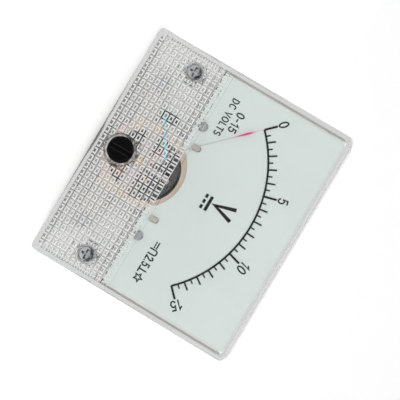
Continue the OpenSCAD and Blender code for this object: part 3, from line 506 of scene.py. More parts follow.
@finish
def pale_plastic(settings):
    made = Finish("pale_plastic_finish", IOR=1.5)
    case = Vector(settings.case_colour)
    speckle = made.math("MULTIPLY", made.grain(5200.0, 0.5, 0.02 * MM, 0.5), 0.08)
    made.set("Base Color", made.mix(speckle, made.tones(case, case * 0.94, 55.0), rgba(case * 0.8)))
    made.set("Roughness", made.marks(0.42, 0.12, 80.0))
    return made


@finish
def black_plastic(settings):
    """Black moulding whose screwdriver slot has paler rubbed edges."""
    made = Finish("black_plastic_finish", IOR=1.45)
    made.set("Specular IOR Level", 0.08)
    speckle = made.grain(6000.0, 0.4, 0.015 * MM, 0.5)
    near = made.ramp(made.off_line(KNOB), 2.9 * MM, 2.6 * MM)
    slot = made.math("MULTIPLY", made.rubbed(0.2 * MM, 1.0), near)
    black = made.mix(speckle, (0.0012, 0.0012, 0.0014, 1), (0.003, 0.003, 0.0034, 1))
    made.set("Base Color", made.mix(slot, black, (0.1, 0.1, 0.1, 1)))
    made.set("Roughness", made.marks(0.4, 0.15, 300.0))
    return made


@finish
def magnet(settings):
    made = plated("magnet", (0.16, 0.16, 0.165), (0.1, 0.1, 0.105), 0.5, 0.2, edge=(0.34, 0.34, 0.34))
    made.grain(2600.0, 1.2, 0.06 * MM, 0.7)
    return made


@finish
def passivated_steel(settings):
    """Passivation: tan that drifts to green and to rose, and to grey out on the arms, with painted shadow: a black
    ring round the central opening.
    """
    base, pale = Vector(settings.passivated_colour), (0.9, 0.84, 0.76)
    made = plated("passivated_steel", base, base * 0.8, 0.34, edge=pale)
    green = made.tones(base, (0.62, 0.66, 0.52), 330.0, 0.6)
    rose = made.tones(green, (0.84, 0.58, 0.48), 210.0, 0.6)
    across = made.math("ABSOLUTE", made.add("ShaderNodeSeparateXYZ", {0: made.place()}).outputs["X"])
    arms = made.mix(made.ramp(across, 9.4 * MM, 10.2 * MM), rose, (0.6, 0.58, 0.53, 1))
    worn = made.mix(made.rubbed(0.15 * MM, 0.7), arms, rgba(pale))
    # painted shadow: a thin black ring on the frame round its central opening, where shade falls into the hole
    painted_bore_shadow = made.ramp(made.off_line(OPENING), OPENING_R + 0.42 * MM, OPENING_R + 0.36 * MM)
    made.set("Base Color", made.mix(painted_bore_shadow, worn, (0.02, 0.02, 0.02, 1)))
    made.set("Metallic", 0.45)
    return made


@finish
def copper_wire(settings):
    """Enamelled copper wire: fine turns round the loop, side by side across its width, with painted shade in the
    grooves between them.
    """
    made = Finish("copper_wire_finish", Metallic=0.85)
    made.set("Coat Weight", 0.6)
    made.set("Coat Roughness", 0.15)
    across = Vector((math.cos(SWEEP / 2), 0, math.sin(SWEEP / 2)))
    turns, layers = (
        made.math("SINE", made.math("MULTIPLY", made.vector("DOT_PRODUCT", made.place(), way),
                                    2 * math.pi / settings.winding_pitch))
        for way in (across, (0, 1, 0)))
    height = made.ramp(made.math("ADD", turns, made.math("MULTIPLY", layers, 0.25)), -1.2, 1.2)
    tone = made.tones((0.62, 0.19, 0.08), (0.42, 0.1, 0.05), 600.0)
    # painted shade: the low valleys between the turns are coloured dark brown, where shade falls between the wires
    painted_groove_shade = made.ramp(height, 0.0, 0.45, 0.75, 0.0)
    made.set("Base Color", made.mix(painted_groove_shade, tone, (0.12, 0.03, 0.02, 1)))
    made.set("Roughness", made.marks(0.34, 0.12, 900.0))
    made.bump(height, 0.05 * MM, 1.0)
    return made


@finish
def dial_enamel(settings):
    made = Finish("dial_enamel_finish", IOR=1.48)
    dial = Vector(settings.dial_colour)
    speckle = made.math("MULTIPLY", made.grain(7000.0, 0.6, 0.01 * MM, 0.35), 0.1)
    tone = made.tones(dial, dial * 0.97, 60.0, 1.0)
    made.set("Base Color", made.mix(speckle, tone, rgba(dial * 0.85)))
    made.set("Roughness", made.marks(0.45, 0.08, 90.0))
    return made


@finish
def black_print(settings):
    made = Finish("black_print_finish", IOR=1.45)
    made.set("Specular IOR Level", 0.03)
    ink = Vector(settings.ink_colour)
    speckle = made.grain(9000.0, 0.5, 0.01 * MM, 0.4)
    made.set("Base Color", made.mix(speckle, rgba(ink), rgba(ink * 2.5)))
    made.set("Roughness", made.marks(0.5, 0.1, 900.0))
    return made


@finish
def pointer_aluminium(settings):
    """Pale needle whose spear is painted in the tip colour and whose very end is paler."""
    made = Finish("pointer_aluminium_finish", IOR=1.5)
    off_axis = made.vector("SUBTRACT", made.place(), tuple(AXIS))
    reach = made.vector("DOT_PRODUCT", off_axis, AT_ZERO)
    edge = made.math("MULTIPLY_ADD", made.noise(4000.0), 0.4 * MM, reach)
    painted = made.ramp(edge, 23.2 * MM, 25.6 * MM)
    fade = made.ramp(edge, 28.6 * MM, 29.8 * MM)
    paint = made.mix(fade, rgba(settings.tip_colour), (0.85, 0.55, 0.62, 1))
    made.set("Base Color", made.mix(painted, (0.62, 0.56, 0.57, 1), paint))
    made.set("Roughness", made.marks(0.4, 0.12, 500.0))
    made.grain(6000.0, 0.4, 0.01 * MM, 0.4)
    return made


@finish
def resistor_body(settings):
    """Lacquered body with four colour bands, on bare tinned wires."""
    made = Finish("resistor_body_finish", IOR=1.5)
    low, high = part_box("resistor")
    off = made.vector("SUBTRACT", made.place(), tuple((low + high) / 2))
    along = made.vector("DOT_PRODUCT", off, (1, 0, 0))
    colour = made.tones((0.7, 0.52, 0.3), (0.62, 0.45, 0.25), 700.0)
    for at, tint in ((-2.9, (0.25, 0.07, 0.02, 1)), (-1.5, (0.01, 0.01, 0.01, 1)),
                     (-0.2, (0.7, 0.16, 0.01, 1)), (2.6, (0.6, 0.4, 0.08, 1))):
        away = made.math("ABSOLUTE", made.math("SUBTRACT", along, at * MM))
        colour = made.mix(made.ramp(away, 0.42 * MM, 0.36 * MM), colour, tint)
    wire = made.ramp(made.math("ABSOLUTE", along), 4.0 * MM, 4.02 * MM)
    made.set("Base Color", made.mix(wire, colour, (0.72, 0.72, 0.7, 1)))
    made.set("Metallic", wire)
    made.set("Roughness", made.marks(0.3, 0.1, 500.0))
    made.grain(1800.0, 1.0, 0.02 * MM, 0.4)
    return made


def dress(*names):
    """Puts the finish of each packed piece's slot on it."""
    for name in names:
        mesh = NODES[name].data
        if not mesh.materials:
            mesh.materials.append(None)
        for place in NODES[name].material_slots:
            place.material = material_for(SLOT_OF[name])


# ---------------------------------------------------------------- mesh making


def smooth(mesh, sharp=SHARP):
    """Smooth shading that breaks at edges sharper than the angle in degrees."""
    mesh.shade_smooth()
    mesh.set_sharp_from_angle(angle=math.radians(sharp))


def link_new(name, data):
    """A new object in the scene."""
    made = bpy.data.objects.new(name, data)
    bpy.context.scene.collection.objects.link(made)
    return made


def make_piece(name, shape, slot, body="meter", sharp=SHARP):
    """A mesh piece in place, with outward faces, its finish, and its body to ride on."""
    mesh = bpy.data.meshes.new(name)
    mesh.from_pydata([tuple(p) for p in shape.points], [], shape.faces)
    work = bmesh.new()
    work.from_mesh(mesh)
    bmesh.ops.remove_doubles(work, verts=work.verts, dist=1e-7)
    bmesh.ops.recalc_face_normals(work, faces=work.faces)
    work.to_mesh(mesh)
    work.free()
    smooth(mesh, sharp)
    piece = link_new(name, mesh)
    mesh.materials.append(material_for(slot))
    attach(piece, body)
    return piece


class Shape:
    """Points and faces gathered for one piece."""

    def __init__(self):
        self.points, self.faces = [], []

    def rings(self, rings, closed=True):
        """Joins rings of equal length with four-sided faces, and caps both ends."""
        base, size = len(self.points), len(rings[0])
        for ring in rings:
            self.points.extend(ring)
        for k in range(len(rings) - 1):
            for i in range(size):
                a, b = base + k * size + i, base + k * size + (i + 1) % size
                self.faces.append((a, b, b + size, a + size))
        if closed:
            last = base + (len(rings) - 1) * size
            self.faces.append(tuple(range(base + size - 1, base - 1, -1)))
            self.faces.append(tuple(range(last, last + size)))
        return self


def turned(shape, x, z, profile, segments=48):
    """A shape turned about a line along Y: the profile is (y, radius) pairs."""
    angles = [2 * math.pi * i / segments for i in range(segments)]
    shape.rings([
        [(x + radius * math.cos(a), y, z + radius * math.sin(a)) for a in angles]
        for y, radius in profile])


def threaded(shape, x, z, start, end, radius, pitch, depth, segments=32, steps=8):
    """A rod along Y with a helical thread and a chamfer at its far end."""
    chamfer_l, chamfer_slope = 0.8 * depth * 1.6, 0.8
    steepness, flat_root = 1.35, 0.12
    rings = []
    count = int(round((end - start) / pitch * steps))
    for k in range(count + 1):
        y = start + (end - start) * k / count
        limit = radius - max(0.0, y - (end - chamfer_l)) * chamfer_slope
        ring = []
        for i in range(segments):
            turn = i / segments
            phase = (y / pitch - turn) % 1.0
            crest = min(1.0, max(0.0, steepness * (1 - abs(2 * phase - 1)) - flat_root))
            fade = min(1.0, (y - start) / pitch)
            r = min(radius - depth * (1 - crest) * fade, limit)
            ring.append((x + r * math.cos(2 * math.pi * turn), y, z + r * math.sin(2 * math.pi * turn)))
        rings.append(ring)
    shape.rings(rings)


# ---------------------------------------------------------------- lettering


def arc(cx, cz, rx, rz, start, end, steps=14):
    """Points of an elliptic arc, with angles in degrees from the right."""
    return [
        (cx + rx * math.cos(math.radians(start + (end - start) * i / steps)),
         cz + rz * math.sin(math.radians(start + (end - start) * i / steps)))
        for i in range(steps + 1)]


# single strokes in a box one unit high: (width, strokes)
GLYPHS = {
    "0": (0.56, [arc(0.28, 0.5, 0.24, 0.46, 90, 450, 28)]),
    "1": (0.42, [[(0.08, 0.72), (0.24, 0.86), (0.3, 0.98), (0.3, 0.03)]]),
    "2": (0.58, [arc(0.29, 0.69, 0.24, 0.27, 165, -20) + [(0.38, 0.42), (0.05, 0.05), (0.55, 0.05)]]),
    "5": (0.58, [[(0.5, 0.95), (0.14, 0.95), (0.09, 0.52)] + arc(0.28, 0.33, 0.25, 0.29, 125, -150)]),
    "-": (0.42, [[(0.06, 0.44), (0.36, 0.44)]]),
    ".": (0.22, [[(0.11, 0.04), (0.11, 0.08)]]),
    " ": (0.34, []),
    "C": (0.66, [arc(0.36, 0.5, 0.29, 0.46, 45, 315)]),
    "D": (0.66, [[(0.08, 0.04), (0.08, 0.96), (0.28, 0.96)] + arc(0.28, 0.5, 0.31, 0.46, 80, -80)
                 + [(0.28, 0.04), (0.08, 0.04)]]),
    "V": (0.62, [[(0.03, 0.97), (0.31, 0.03), (0.59, 0.97)]]),
    "O": (0.74, [arc(0.37, 0.5, 0.31, 0.46, 90, 450, 28)]),
    "L": (0.54, [[(0.09, 0.97), (0.09, 0.05), (0.48, 0.05)]]),
    "T": (0.58, [[(0.03, 0.95), (0.55, 0.95)], [(0.29, 0.95), (0.29, 0.03)]]),
    "S": (0.6, [arc(0.3, 0.72, 0.22, 0.24, 35, 250, 10) + arc(0.3, 0.27, 0.25, 0.23, 80, -145, 10)]),
}
CLOSED_GLYPHS = "0DO"
GAP = 0.17


def round_end(rib, half, sign, steps):
    """Ribs that round off the end of a stroke, from its last rib outwards."""
    point, side, way = rib
    made = []
    for k in range(1, steps + 1):
        angle = math.pi / 2 * k / steps * 0.96
        out = way * (sign * half * math.sin(angle))
        made.append((point + out, side.normalized() * half * math.cos(angle), way))
    return made


def stroke(shape, points, half, front, back, closed=False, cap=5):
    """A flat stroke of even width through points in X and Z: cap steps round each end, 0 none."""
    path = [Vector(p) for p in points]
    if closed:
        path = path[:-1]
    count = len(path)
    ribs = []
    for i, point in enumerate(path):
        before = path[i - 1] if closed or i else point
        after = path[(i + 1) % count] if closed or i < count - 1 else point
        a = (point - before).normalized() if point != before else (after - point).normalized()
        b = (after - point).normalized() if after != point else a
        way = (a + b).normalized() if (a + b).length > 1e-6 else a
        side = Vector((-way.y, way.x))
        reach = half / max(0.5, side.dot(Vector((-a.y, a.x))))
        ribs.append((point, side * reach, way))
    if not closed:
        ribs = round_end(ribs[0], half, -1, cap)[::-1] + ribs + round_end(ribs[-1], half, 1, cap)
    rings = []
    for point, side, _ in ribs:
        left, right = point + side, point - side
        rings.append([(left.x, front, left.y), (right.x, front, right.y),
                      (right.x, back, right.y), (left.x, back, left.y)])
    if closed:
        rings.append(rings[0])
    shape.rings(rings, closed=not closed)


def write(shape, text, centre, height, width, front, back, turn=0.0, squeeze=1.0):
    """Text in single strokes, centred on a point of the dial and turned clockwise about it."""
    total = sum(GLYPHS[c][0] for c in text) + GAP * (len(text) - 1)
    at = -total / 2
    cos, sin = math.cos(-turn), math.sin(-turn)
    for c in text:
        for line in GLYPHS[c][1]:
            placed = []
            for px, pz in line:
                u, v = (at + px) * height * squeeze, (pz - 0.5) * height
                placed.append((centre[0] + u * cos - v * sin, centre[1] + u * sin + v * cos))
            stroke(shape, placed, width / 2, front, back, closed=c in CLOSED_GLYPHS)
        at += GLYPHS[c][0] + GAP


def from_axis(distance, angle):
    """A point of the dial at a distance from the pointer's axis, clockwise from straight up."""
    return (AXIS.x + distance * math.sin(angle), AXIS.z + distance * math.cos(angle))


def middle_of(name):
    """The middle of a packed piece in X and Z."""
    low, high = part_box(name)
    return (low.x + high.x) / 2, (low.z + high.z) / 2


# ---------------------------------------------------------------- operators


class MeterStep:
    """What the steps share: each builds its pieces and reports that it is done."""

    bl_options = {"REGISTER", "UNDO"}

    def execute(self, context):
        self.build(context.scene)
        return {"FINISHED"}


class PANELMETER_OT_cover(MeterStep, bpy.types.Operator):
    """Gives the window and its prismatic band their clear plastic"""

    bl_idname = "panel_meter.cover"
    bl_label = "Clear cover"

    def build(self, scene):
        dress("cover")


class PANELMETER_OT_case(MeterStep, bpy.types.Operator):
    """Finishes the moulded base, the rear cap and the zero adjuster"""

    bl_idname = "panel_meter.case"
    bl_label = "Moulded case"

    def build(self, scene):
        dress("base", "rear_cap", "zero_adjuster")


class PANELMETER_OT_rear_marks(MeterStep, bpy.types.Operator):
    """Prints the plus and minus beside the terminals on the rear cap"""

    bl_idname = "panel_meter.rear_marks"
    bl_label = "Terminal marks"

    def build(self, scene):
        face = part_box("rear_cap")[1].y
        front, back = face + 0.35 * MM, face - 0.05 * MM
        arm, half, inward = 1.5 * MM, 0.36 * MM, 7.6 * MM
        marks = Shape()
        for name, offset, plus in zip(TERMINALS, (inward, -inward), (False, True)):
            x, z = middle_of(name)
            x += offset
            lines = [[(x - arm, z), (x + arm, z)]]
            if plus:
                lines += [[(x, z + way * half), (x, z + way * arm)] for way in (-1, 1)]
            for line in lines:
                stroke(marks, line, half, front, back, cap=0)
        make_piece("terminal_marks", marks, "black_print")


class PANELMETER_OT_dial(MeterStep, bpy.types.Operator):
    """Enamels the dial plate and inks its scale"""

    bl_idname = "panel_meter.dial"
    bl_label = "Dial and scale"

    def build(self, scene):
        dress("dial_plate", "scale_marks", "dial_screws")
        spread = NODES["scale_marks"].modifiers.new("ink_spread", "DISPLACE")
        spread.strength, spread.mid_level = 0.05 * MM, 0


class PANELMETER_OT_lettering(MeterStep, bpy.types.Operator):
    """Prints the numbers, the unit and the instrument symbols on the dial"""

    bl_idname = "panel_meter.lettering"
    bl_label = "Dial lettering"

    def build(self, scene):
        sizes = scene.panel_meter_lettering
        faces = DIAL_FACE - sizes.print_depth, DIAL_FACE + 0.01 * MM
        for name, draw in (("dial_numbers", self.numbers), ("dial_unit", self.unit),
                           ("dial_symbols", self.symbols), ("dial_caption", self.caption)):
            shape = Shape()
            draw(shape, sizes, *faces)
            make_piece(name, shape, "black_print")

    def numbers(self, shape, sizes, front, back):
        for number in range(0, LAST_NUMBER + 1, NUMBER_STEP):
            angle = SWEEP * (number / LAST_NUMBER - 0.5)
            write(shape, str(number), from_axis(sizes.number_ring, angle), sizes.number_height,
                  sizes.number_stroke, front, back, angle, 0.92)

    def unit(self, shape, sizes, front, back):
        """The unit letter over the direct-current sign: a bar above three dashes."""
        middle, foot, reach = -0.45 * MM, 5.5 * MM, 1.62 * MM
        top, edge = foot + sizes.unit_height, sizes.unit_stroke / 2
        letter = [(middle - reach, top), (middle, foot + edge), (middle + reach, top)]
        stroke(shape, letter, edge, front, back, cap=0)
        bar, dashes, pitch = 4.45 * MM, 3.13 * MM, 1.48 * MM
        stroke(shape, [(-2.0 * MM, bar), (1.95 * MM, bar)], 0.4 * MM, front, back, cap=0)
        for k in (-1, 0, 1):
            dash = [(k * pitch - 0.52 * MM, dashes), (k * pitch + 0.5 * MM, dashes)]
            stroke(shape, dash, 0.36 * MM, front, back, cap=0)

    def symbols(self, shape, sizes, front, back):
        """Direct current, moving coil with magnet, accuracy class, upright use, tested insulation."""
        row, tall, half = -1.26 * MM, sizes.symbol_height, 0.17 * MM
        low, high = row - tall / 2, row + tall / 2

        def line(*points):
            stroke(shape, points, half, front, back)

        bar, dashes, dash_l = row + 0.35 * MM, row - 0.3 * MM, 0.22
        line((14.7 * MM, bar), (16.3 * MM, bar))
        for at in (14.75, 15.4, 16.05):
            line((at * MM, dashes), ((at + dash_l) * MM, dashes))
        magnet_x, magnet_r, crown = 17.4 * MM, 0.65 * MM, 0.5 * MM
        bend = arc(magnet_x, high - crown, magnet_r, crown, 180, 0)
        line((magnet_x - magnet_r, low), *bend, (magnet_x + magnet_r, low))
        write(shape, "2.5", (20.05 * MM, row), tall * 1.04, 2 * half, front, back, squeeze=0.74)
        foot = low + 0.08 * MM
        line((21.75 * MM, foot), (23.25 * MM, foot))
        line((22.5 * MM, foot), (22.5 * MM, high - 0.1 * MM))
        star_x, star_z, points = 24.65 * MM, row - 0.03 * MM, 5
        star = []
        for k in range(2 * points + 1):
            angle = math.radians(180 / points * k)
            reach = (1.12 if k % 2 == 0 else 0.5) * MM
            star.append((star_x + reach * math.sin(angle), star_z + reach * math.cos(angle)))
        stroke(shape, star, half * 0.9, front, back, closed=True)

    def caption(self, shape, sizes, front, back):
        """The range over the kind of current, at the left of the dial's foot."""
        x = -20.7 * MM
        write(shape, "0-15", (x, 0.1 * MM), 2.1 * MM, 0.33 * MM, front, back)
        write(shape, "DC VOLTS", (x, -2.75 * MM), 1.8 * MM, 0.29 * MM, front, back, squeeze=0.95)


class PANELMETER_OT_movement(MeterStep, bpy.types.Operator):
    """Finishes the frame, yoke, magnet, bridges, pillars and jewel screws"""

    bl_idname = "panel_meter.movement"
    bl_label = "Fixed movement"

    def build(self, scene):
        dress("movement_frame", "frame_screws", "stop_pins", "yoke_ring", "magnet_core", "core_spacers",
              "front_bridge", "front_pillars", "front_bridge_nuts", "front_jewel_screw", "rear_bridge",
              "rear_pillars", "rear_bridge_nuts", "rear_jewel_screw", "rear_lock_nut",
              "adjuster_retainer", "zero_lever", "front_hairspring", "rear_hairspring")


class PANELMETER_OT_moving_coil(MeterStep, bpy.types.Operator):
    """Finishes the pointer, its weights, the staffs and the wound coil"""

    bl_idname = "panel_meter.moving_coil"
    bl_label = "Moving coil and pointer"

    def build(self, scene):
        self.needle()
        dress("pointer_hub", "balance_weights", "front_staff", "rear_staff",
              "front_collet", "rear_collet", "coil_former", "coil_winding")

    def needle(self):
        """A fine round needle, flattened near its end into the painted spear."""
        low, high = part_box("pointer")
        centre = Vector((AXIS.x, (low.y + high.y) / 2, AXIS.z))
        tip = Vector((low.x, centre.y, high.z))
        profile = [
            (1.35, 0.3, 0.14), (2.6, 0.28, 0.14), (3.4, 0.13, 0.12), (24.2, 0.095, 0.095),
            (25.0, 0.12, 0.09), (26.4, 0.24, 0.07), (27.4, 0.3, 0.06), (28.2, 0.26, 0.06),
            (29.4, 0.12, 0.07), (30.2, 0.075, 0.07),
            ((tip - centre).dot(AT_ZERO) / MM - 0.05, 0.05, 0.05)]
        shape = Shape().rings([
            self.section(centre + AT_ZERO * at * MM, half * MM, thick * MM)
            for at, half, thick in profile])
        piece = make_piece("needle", shape, "pointer_aluminium", "moving_coil", 50)
        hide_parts("pointer")

    def section(self, centre, half, thick, points=12):
        """One ring of the needle: an ellipse across it."""
        side = Vector((AT_ZERO.z, 0, -AT_ZERO.x))
        ring = []
        for k in range(points):
            turn = 2 * math.pi * k / points
            rise = Vector((0, thick * math.sin(turn), 0))
            ring.append(centre + side * (half * math.cos(turn)) + rise)
        return ring


class PANELMETER_OT_wiring(MeterStep, bpy.types.Operator):
    """Finishes the leads and the banded resistor"""

    bl_idname = "panel_meter.wiring"
    bl_label = "Leads and resistor"

    def build(self, scene):
        dress("resistor", "lead_blue", "lead_red", "lead_link")


class PANELMETER_OT_fasteners(MeterStep, bpy.types.Operator):
    """Cuts real threads on the studs and terminals, and plates the nuts and washers"""

    bl_idname = "panel_meter.fasteners"
    bl_label = "Studs, terminals and nuts"

    def build(self, scene):
        dress("mounting_studs", "mounting_washers", "mounting_spring_washers", "mounting_nuts",
              "terminal_stud_left", "terminal_stud_right", "terminal_base_nuts", "solder_lugs",
              "terminal_washers", "terminal_spring_washers", "terminal_nuts", "rear_cap_screws")
        threads = scene.panel_meter_threads
        self.studs(threads)
        self.terminals(threads)

    def studs(self, threads):
        low, neck, seat = STUD_LOW.y, STUD_THREAD_R - 0.02 * MM, STUD_LOW.y + 2.2 * MM
        for name, x in zip(("left", "right"), STUD_X):
            head = self.cross_head("mounting_stud_" + name, x, seat)
            shank = Shape()
            turned(shank, x, STUD_Z, [
                (low + 1.2 * MM, 0.9 * STUD_HEAD_R), (seat, STUD_THREAD_R), (seat + 0.05 * MM, neck),
                (STUD_THREAD_START, neck)])
            threaded(shank, x, STUD_Z, STUD_THREAD_START - 0.02 * MM, STUD_HIGH.y, STUD_THREAD_R,
                     threads.stud_pitch, threads.stud_pitch * threads.depth_share)
            join_pieces(head, make_piece("stud_shank_" + name, shank, "zinc_steel"))
            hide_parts("mounting_studs")

    def cross_head(self, name, x, seat):
        """A round head with a chamfered rim and a tapered cross recess."""
        front, radius, rim = STUD_LOW.y, STUD_HEAD_R, 0.14 * MM
        head = Shape()
        turned(head, x, STUD_Z, [
            (front, 0.45 * radius), (front, radius - rim), (front + 0.4 * rim, radius - 0.3 * rim),
            (front + rim, radius), (seat - 0.1 * MM, radius), (seat, radius - 0.1 * MM),
            (seat, 0.5 * radius)])
        piece = make_piece(name, head, "zinc_steel")
        slot = 0.62 * MM
        mouth, bottom = (-0.2 * MM, 0.72 * radius, slot / 2), (1.1 * MM, 0.42 * radius, slot * 0.3)
        for turn in (0, math.pi / 2):
            cos, sin = math.cos(turn), math.sin(turn)
            carve(piece, Shape().rings([
                [(x + u * cos - v * sin, front + depth, STUD_Z + u * sin + v * cos)
                 for u, v in ((-reach, -half), (reach, -half), (reach, half), (-reach, half))]
                for depth, reach, half in (mouth, bottom)]))
        return piece

    def terminals(self, threads):
        """Each has a hexagonal foot in the case, with corners to the sides, and its thread outside."""
        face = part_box("base")[1].y
        for name in TERMINALS:
            low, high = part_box(name)
            x, z = middle_of(name)
            corner = (high.x - low.x) / 2
            shape = Shape()
            turned(shape, x, z, [
                (low.y, 0.9 * corner), (low.y + 0.25 * MM, corner), (face, corner)], segments=6)
            threaded(shape, x, z, face - 0.05 * MM, high.y, TERMINAL_THREAD_R, threads.terminal_pitch,
                     threads.terminal_pitch * threads.depth_share, segments=36)
            piece = make_piece(name + "_thread", shape, SLOT_OF[name])
            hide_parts(name)


def join_pieces(keep, other):
    """Adds the mesh of the other to the first piece."""
    work = bmesh.new()
    work.from_mesh(keep.data)
    work.from_mesh(other.data)
    work.to_mesh(keep.data)
    work.free()
    smooth(keep.data)
    bpy.data.objects.remove(other)


def carve(piece, cutter):
    """Cuts a shape out of a piece for good."""
    mesh = bpy.data.meshes.new("cutter")
    mesh.from_pydata(cutter.points, [], cutter.faces)
    tool = link_new("cutter", mesh)
    work = bmesh.new()
    work.from_mesh(mesh)
    bmesh.ops.recalc_face_normals(work, faces=work.faces)
    work.to_mesh(mesh)
    work.free()
    cut = piece.modifiers.new("cut", "BOOLEAN")
    cut.operation, cut.solver, cut.object = "DIFFERENCE", "EXACT", tool
    bpy.context.view_layer.update()
    seen = piece.evaluated_get(bpy.context.evaluated_depsgraph_get())
    result = bpy.data.meshes.new_from_object(seen)
    piece.modifiers.remove(cut)
    piece.data = result
    smooth(result)
    bpy.data.objects.remove(tool)


def reflected_rays(wiring, paths):
    """1 for reflected rays only: refracted ones count as glossy too, so they are taken out."""
    return wiring.math("SUBTRACT", paths["Is Glossy Ray"], paths["Is Transmission Ray"], clamp=True)


def looking(place, target):
    """The matrix that stands at a place and looks along -Z at the target."""
    turn = (target - place).to_track_quat("-Z", "Y").to_matrix().to_4x4()
    return Matrix.Translation(place) @ turn


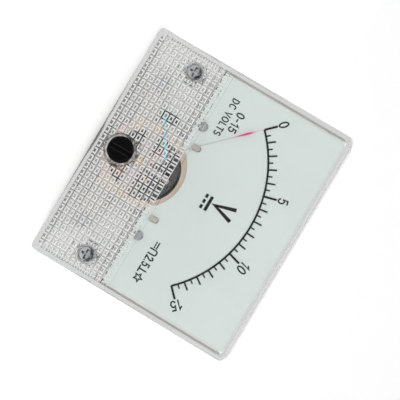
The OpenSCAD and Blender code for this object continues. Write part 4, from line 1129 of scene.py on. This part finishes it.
class PANELMETER_OT_stage(MeterStep, bpy.types.Operator):
    """Sets the pale floor, the soft lamps, the white surround and the camera"""

    bl_idname = "panel_meter.stage"
    bl_label = "Stage"

    def build(self, scene):
        settings = scene.panel_meter_stage
        self.camera(scene, settings)
        self.floor()
        self.lamps(settings)
        self.surround(scene, settings)
        scene.view_settings.view_transform = "Standard"

    def camera(self, scene, settings):
        made = bpy.data.cameras.new("camera")
        made.lens, made.sensor_width = settings.lens, 36
        made.shift_x, made.shift_y = 0.0166, -0.0134
        made.clip_start, made.clip_end = 0.02, 20
        holder = link_new("camera", made)
        target = Vector((0, -7 * MM, 0))
        back = Vector((0, -math.cos(settings.camera_elevation), math.sin(settings.camera_elevation)))
        roll = Matrix.Rotation(settings.camera_roll, 4, "Z")
        holder.matrix_world = looking(target + back * settings.camera_distance, target) @ roll
        scene.camera = holder

    def floor(self):
        """A pale sheet under the meter that curves up behind it."""
        side, front, flat, bend, top, steps = 1.6, -0.2, 0.9, 0.4, 1.6, 12
        profile = [(front, 0.0), (flat, 0.0)]
        for k in range(1, steps + 1):
            angle = math.pi / 2 * k / steps
            profile.append((flat + bend * math.sin(angle), bend - bend * math.cos(angle)))
        profile.append((1.3, top))
        foot = CAD_BOX[0].z - 0.05 * MM
        mesh = bpy.data.meshes.new("floor")
        points = [(x, y, foot + z) for x in (-side, side) for y, z in profile]
        size = len(profile)
        mesh.from_pydata(points, [], [(i, size + i, size + i + 1, i + 1) for i in range(size - 1)])
        mesh.shade_smooth()
        sheet = link_new("floor", mesh)
        mesh.materials.append(self.paper())

    def paper(self):
        """Pale grained paper: clear from below, a little brighter than lit when seen, and even
        for the rays that the clear cover bends."""
        made = Finish("floor_paper", Roughness=0.9, IOR=1.3)
        grain = made.use(surface_grain, Scale=900.0, Coarse=0.5)
        speckle = made.math("MULTIPLY", grain["Speckle"], 0.06)
        made.set("Base Color", made.mix(speckle, (0.83, 0.83, 0.83, 1), (0.75, 0.75, 0.75, 1)))
        paths = made.add("ShaderNodeLightPath").outputs
        seen = made.math("MAXIMUM", paths["Is Camera Ray"], reflected_rays(made, paths))
        extra = made.math("MULTIPLY", seen, 0.3)
        glow = made.add("ShaderNodeEmission", {"Color": WHITE, "Strength": extra})
        both = made.add("ShaderNodeAddShader", {0: made.shader.outputs[0], 1: glow.outputs[0]})
        even = made.add("ShaderNodeEmission", {"Color": WHITE, "Strength": 0.86})
        lit = made.blend(paths["Is Transmission Ray"], both, even)
        below = made.add("ShaderNodeNewGeometry").outputs["Backfacing"]
        made.surface(made.blend(below, lit, made.add("ShaderNodeBsdfTransparent")))
        return made.material

    def lamps(self, settings):
        """Soft lamps: name, place, width and power."""
        for name, place, size, power in (
                ("key_lamp", (-0.5, -0.55, 0.7), 0.6, 2.6),
                ("fill_lamp", (0.7, -0.5, 0.25), 0.6, 1.3),
                ("top_lamp", (0.1, 0.15, 0.95), 0.8, 2.0),
                ("rear_lamp", (0.5, 0.8, 0.6), 0.4, 1.9)):
            made = bpy.data.lights.new(name, "AREA")
            made.shape, made.size = "SQUARE", size
            made.energy = power * settings.lamp_level
            lamp = link_new(name, made)
            lamp.visible_transmission = False
            lamp.matrix_world = looking(Vector(place), Vector((0, 0, 0)))

    def surround(self, scene, settings):
        """White all round. Mirrored, it is darker below and has a dark opening in front, which
        keeps the window free of glare."""
        world = bpy.data.worlds.new("surround")
        world.use_nodes = True
        scene.world = world
        world.node_tree.nodes.clear()
        wiring = Wiring(world.node_tree)
        paths = wiring.add("ShaderNodeLightPath").outputs
        camera, bent, glossy = (
            paths["Is " + kind + " Ray"] for kind in ("Camera", "Transmission", "Glossy"))
        way = wiring.vector("NORMALIZE", wiring.add("ShaderNodeTexCoord").outputs["Generated"])
        ahead = wiring.vector("DOT_PRODUCT", way, (0, -1, 0))
        edge, middle = (math.cos(math.radians(angle)) for angle in (60, 20))
        opening = wiring.ramp(ahead, edge, middle, 1.0, 0.02)
        rise = wiring.ramp(wiring.vector("DOT_PRODUCT", way, (0, 0, 1)), -0.35, 0.55, 0.22, 1.0)
        level = wiring.math("MULTIPLY", opening, rise)
        mirror = wiring.math("MULTIPLY", reflected_rays(wiring, paths), level)
        behind = wiring.ramp(ahead, 0.1, -0.9, settings.side_level, 1.0)
        through = wiring.math("MULTIPLY", bent, behind)
        white = wiring.math("MAXIMUM", camera, wiring.math("MAXIMUM", through, mirror))
        lookers = wiring.math("MAXIMUM", camera, wiring.math("MAXIMUM", bent, glossy))
        other = wiring.math("SUBTRACT", 1.0, lookers, clamp=True)
        strength = wiring.math("MULTIPLY_ADD", other, settings.ambient, white)
        sky = wiring.add("ShaderNodeBackground", {"Color": WHITE, "Strength": strength})
        wiring.add("ShaderNodeOutputWorld", {"Surface": sky.outputs["Background"]})


class PANELMETER_PT_sidebar(bpy.types.Panel):
    """Lists the meter's steps and their settings"""

    bl_idname = "PANELMETER_PT_sidebar"
    bl_label = "Panel meter"
    bl_space_type = "VIEW_3D"
    bl_region_type = "UI"
    bl_category = "Panel meter"

    def draw(self, context):
        for step in STEPS:
            self.layout.operator(step.bl_idname)
        for name, kind in SETTINGS.items():
            box = self.layout.box()
            box.label(text=kind.__doc__)
            for field in kind.__annotations__:
                box.prop(getattr(context.scene, name), field)


STEPS = (
    PANELMETER_OT_stage,
    PANELMETER_OT_cover,
    PANELMETER_OT_case,
    PANELMETER_OT_rear_marks,
    PANELMETER_OT_dial,
    PANELMETER_OT_lettering,
    PANELMETER_OT_movement,
    PANELMETER_OT_moving_coil,
    PANELMETER_OT_wiring,
    PANELMETER_OT_fasteners,
)
CLASSES = (*SETTINGS.values(), *STEPS, PANELMETER_PT_sidebar)


def register():
    for kind in CLASSES:
        bpy.utils.register_class(kind)
    for name, kind in SETTINGS.items():
        setattr(bpy.types.Scene, name, bpy.props.PointerProperty(type=kind))


def unregister():
    for name in SETTINGS:
        delattr(bpy.types.Scene, name)
    for kind in reversed(CLASSES):
        bpy.utils.unregister_class(kind)


def main():
    register()
    for step in STEPS:
        group, name = step.bl_idname.split(".")
        getattr(getattr(bpy.ops, group), name)()


if __name__ == "__main__":
    main()
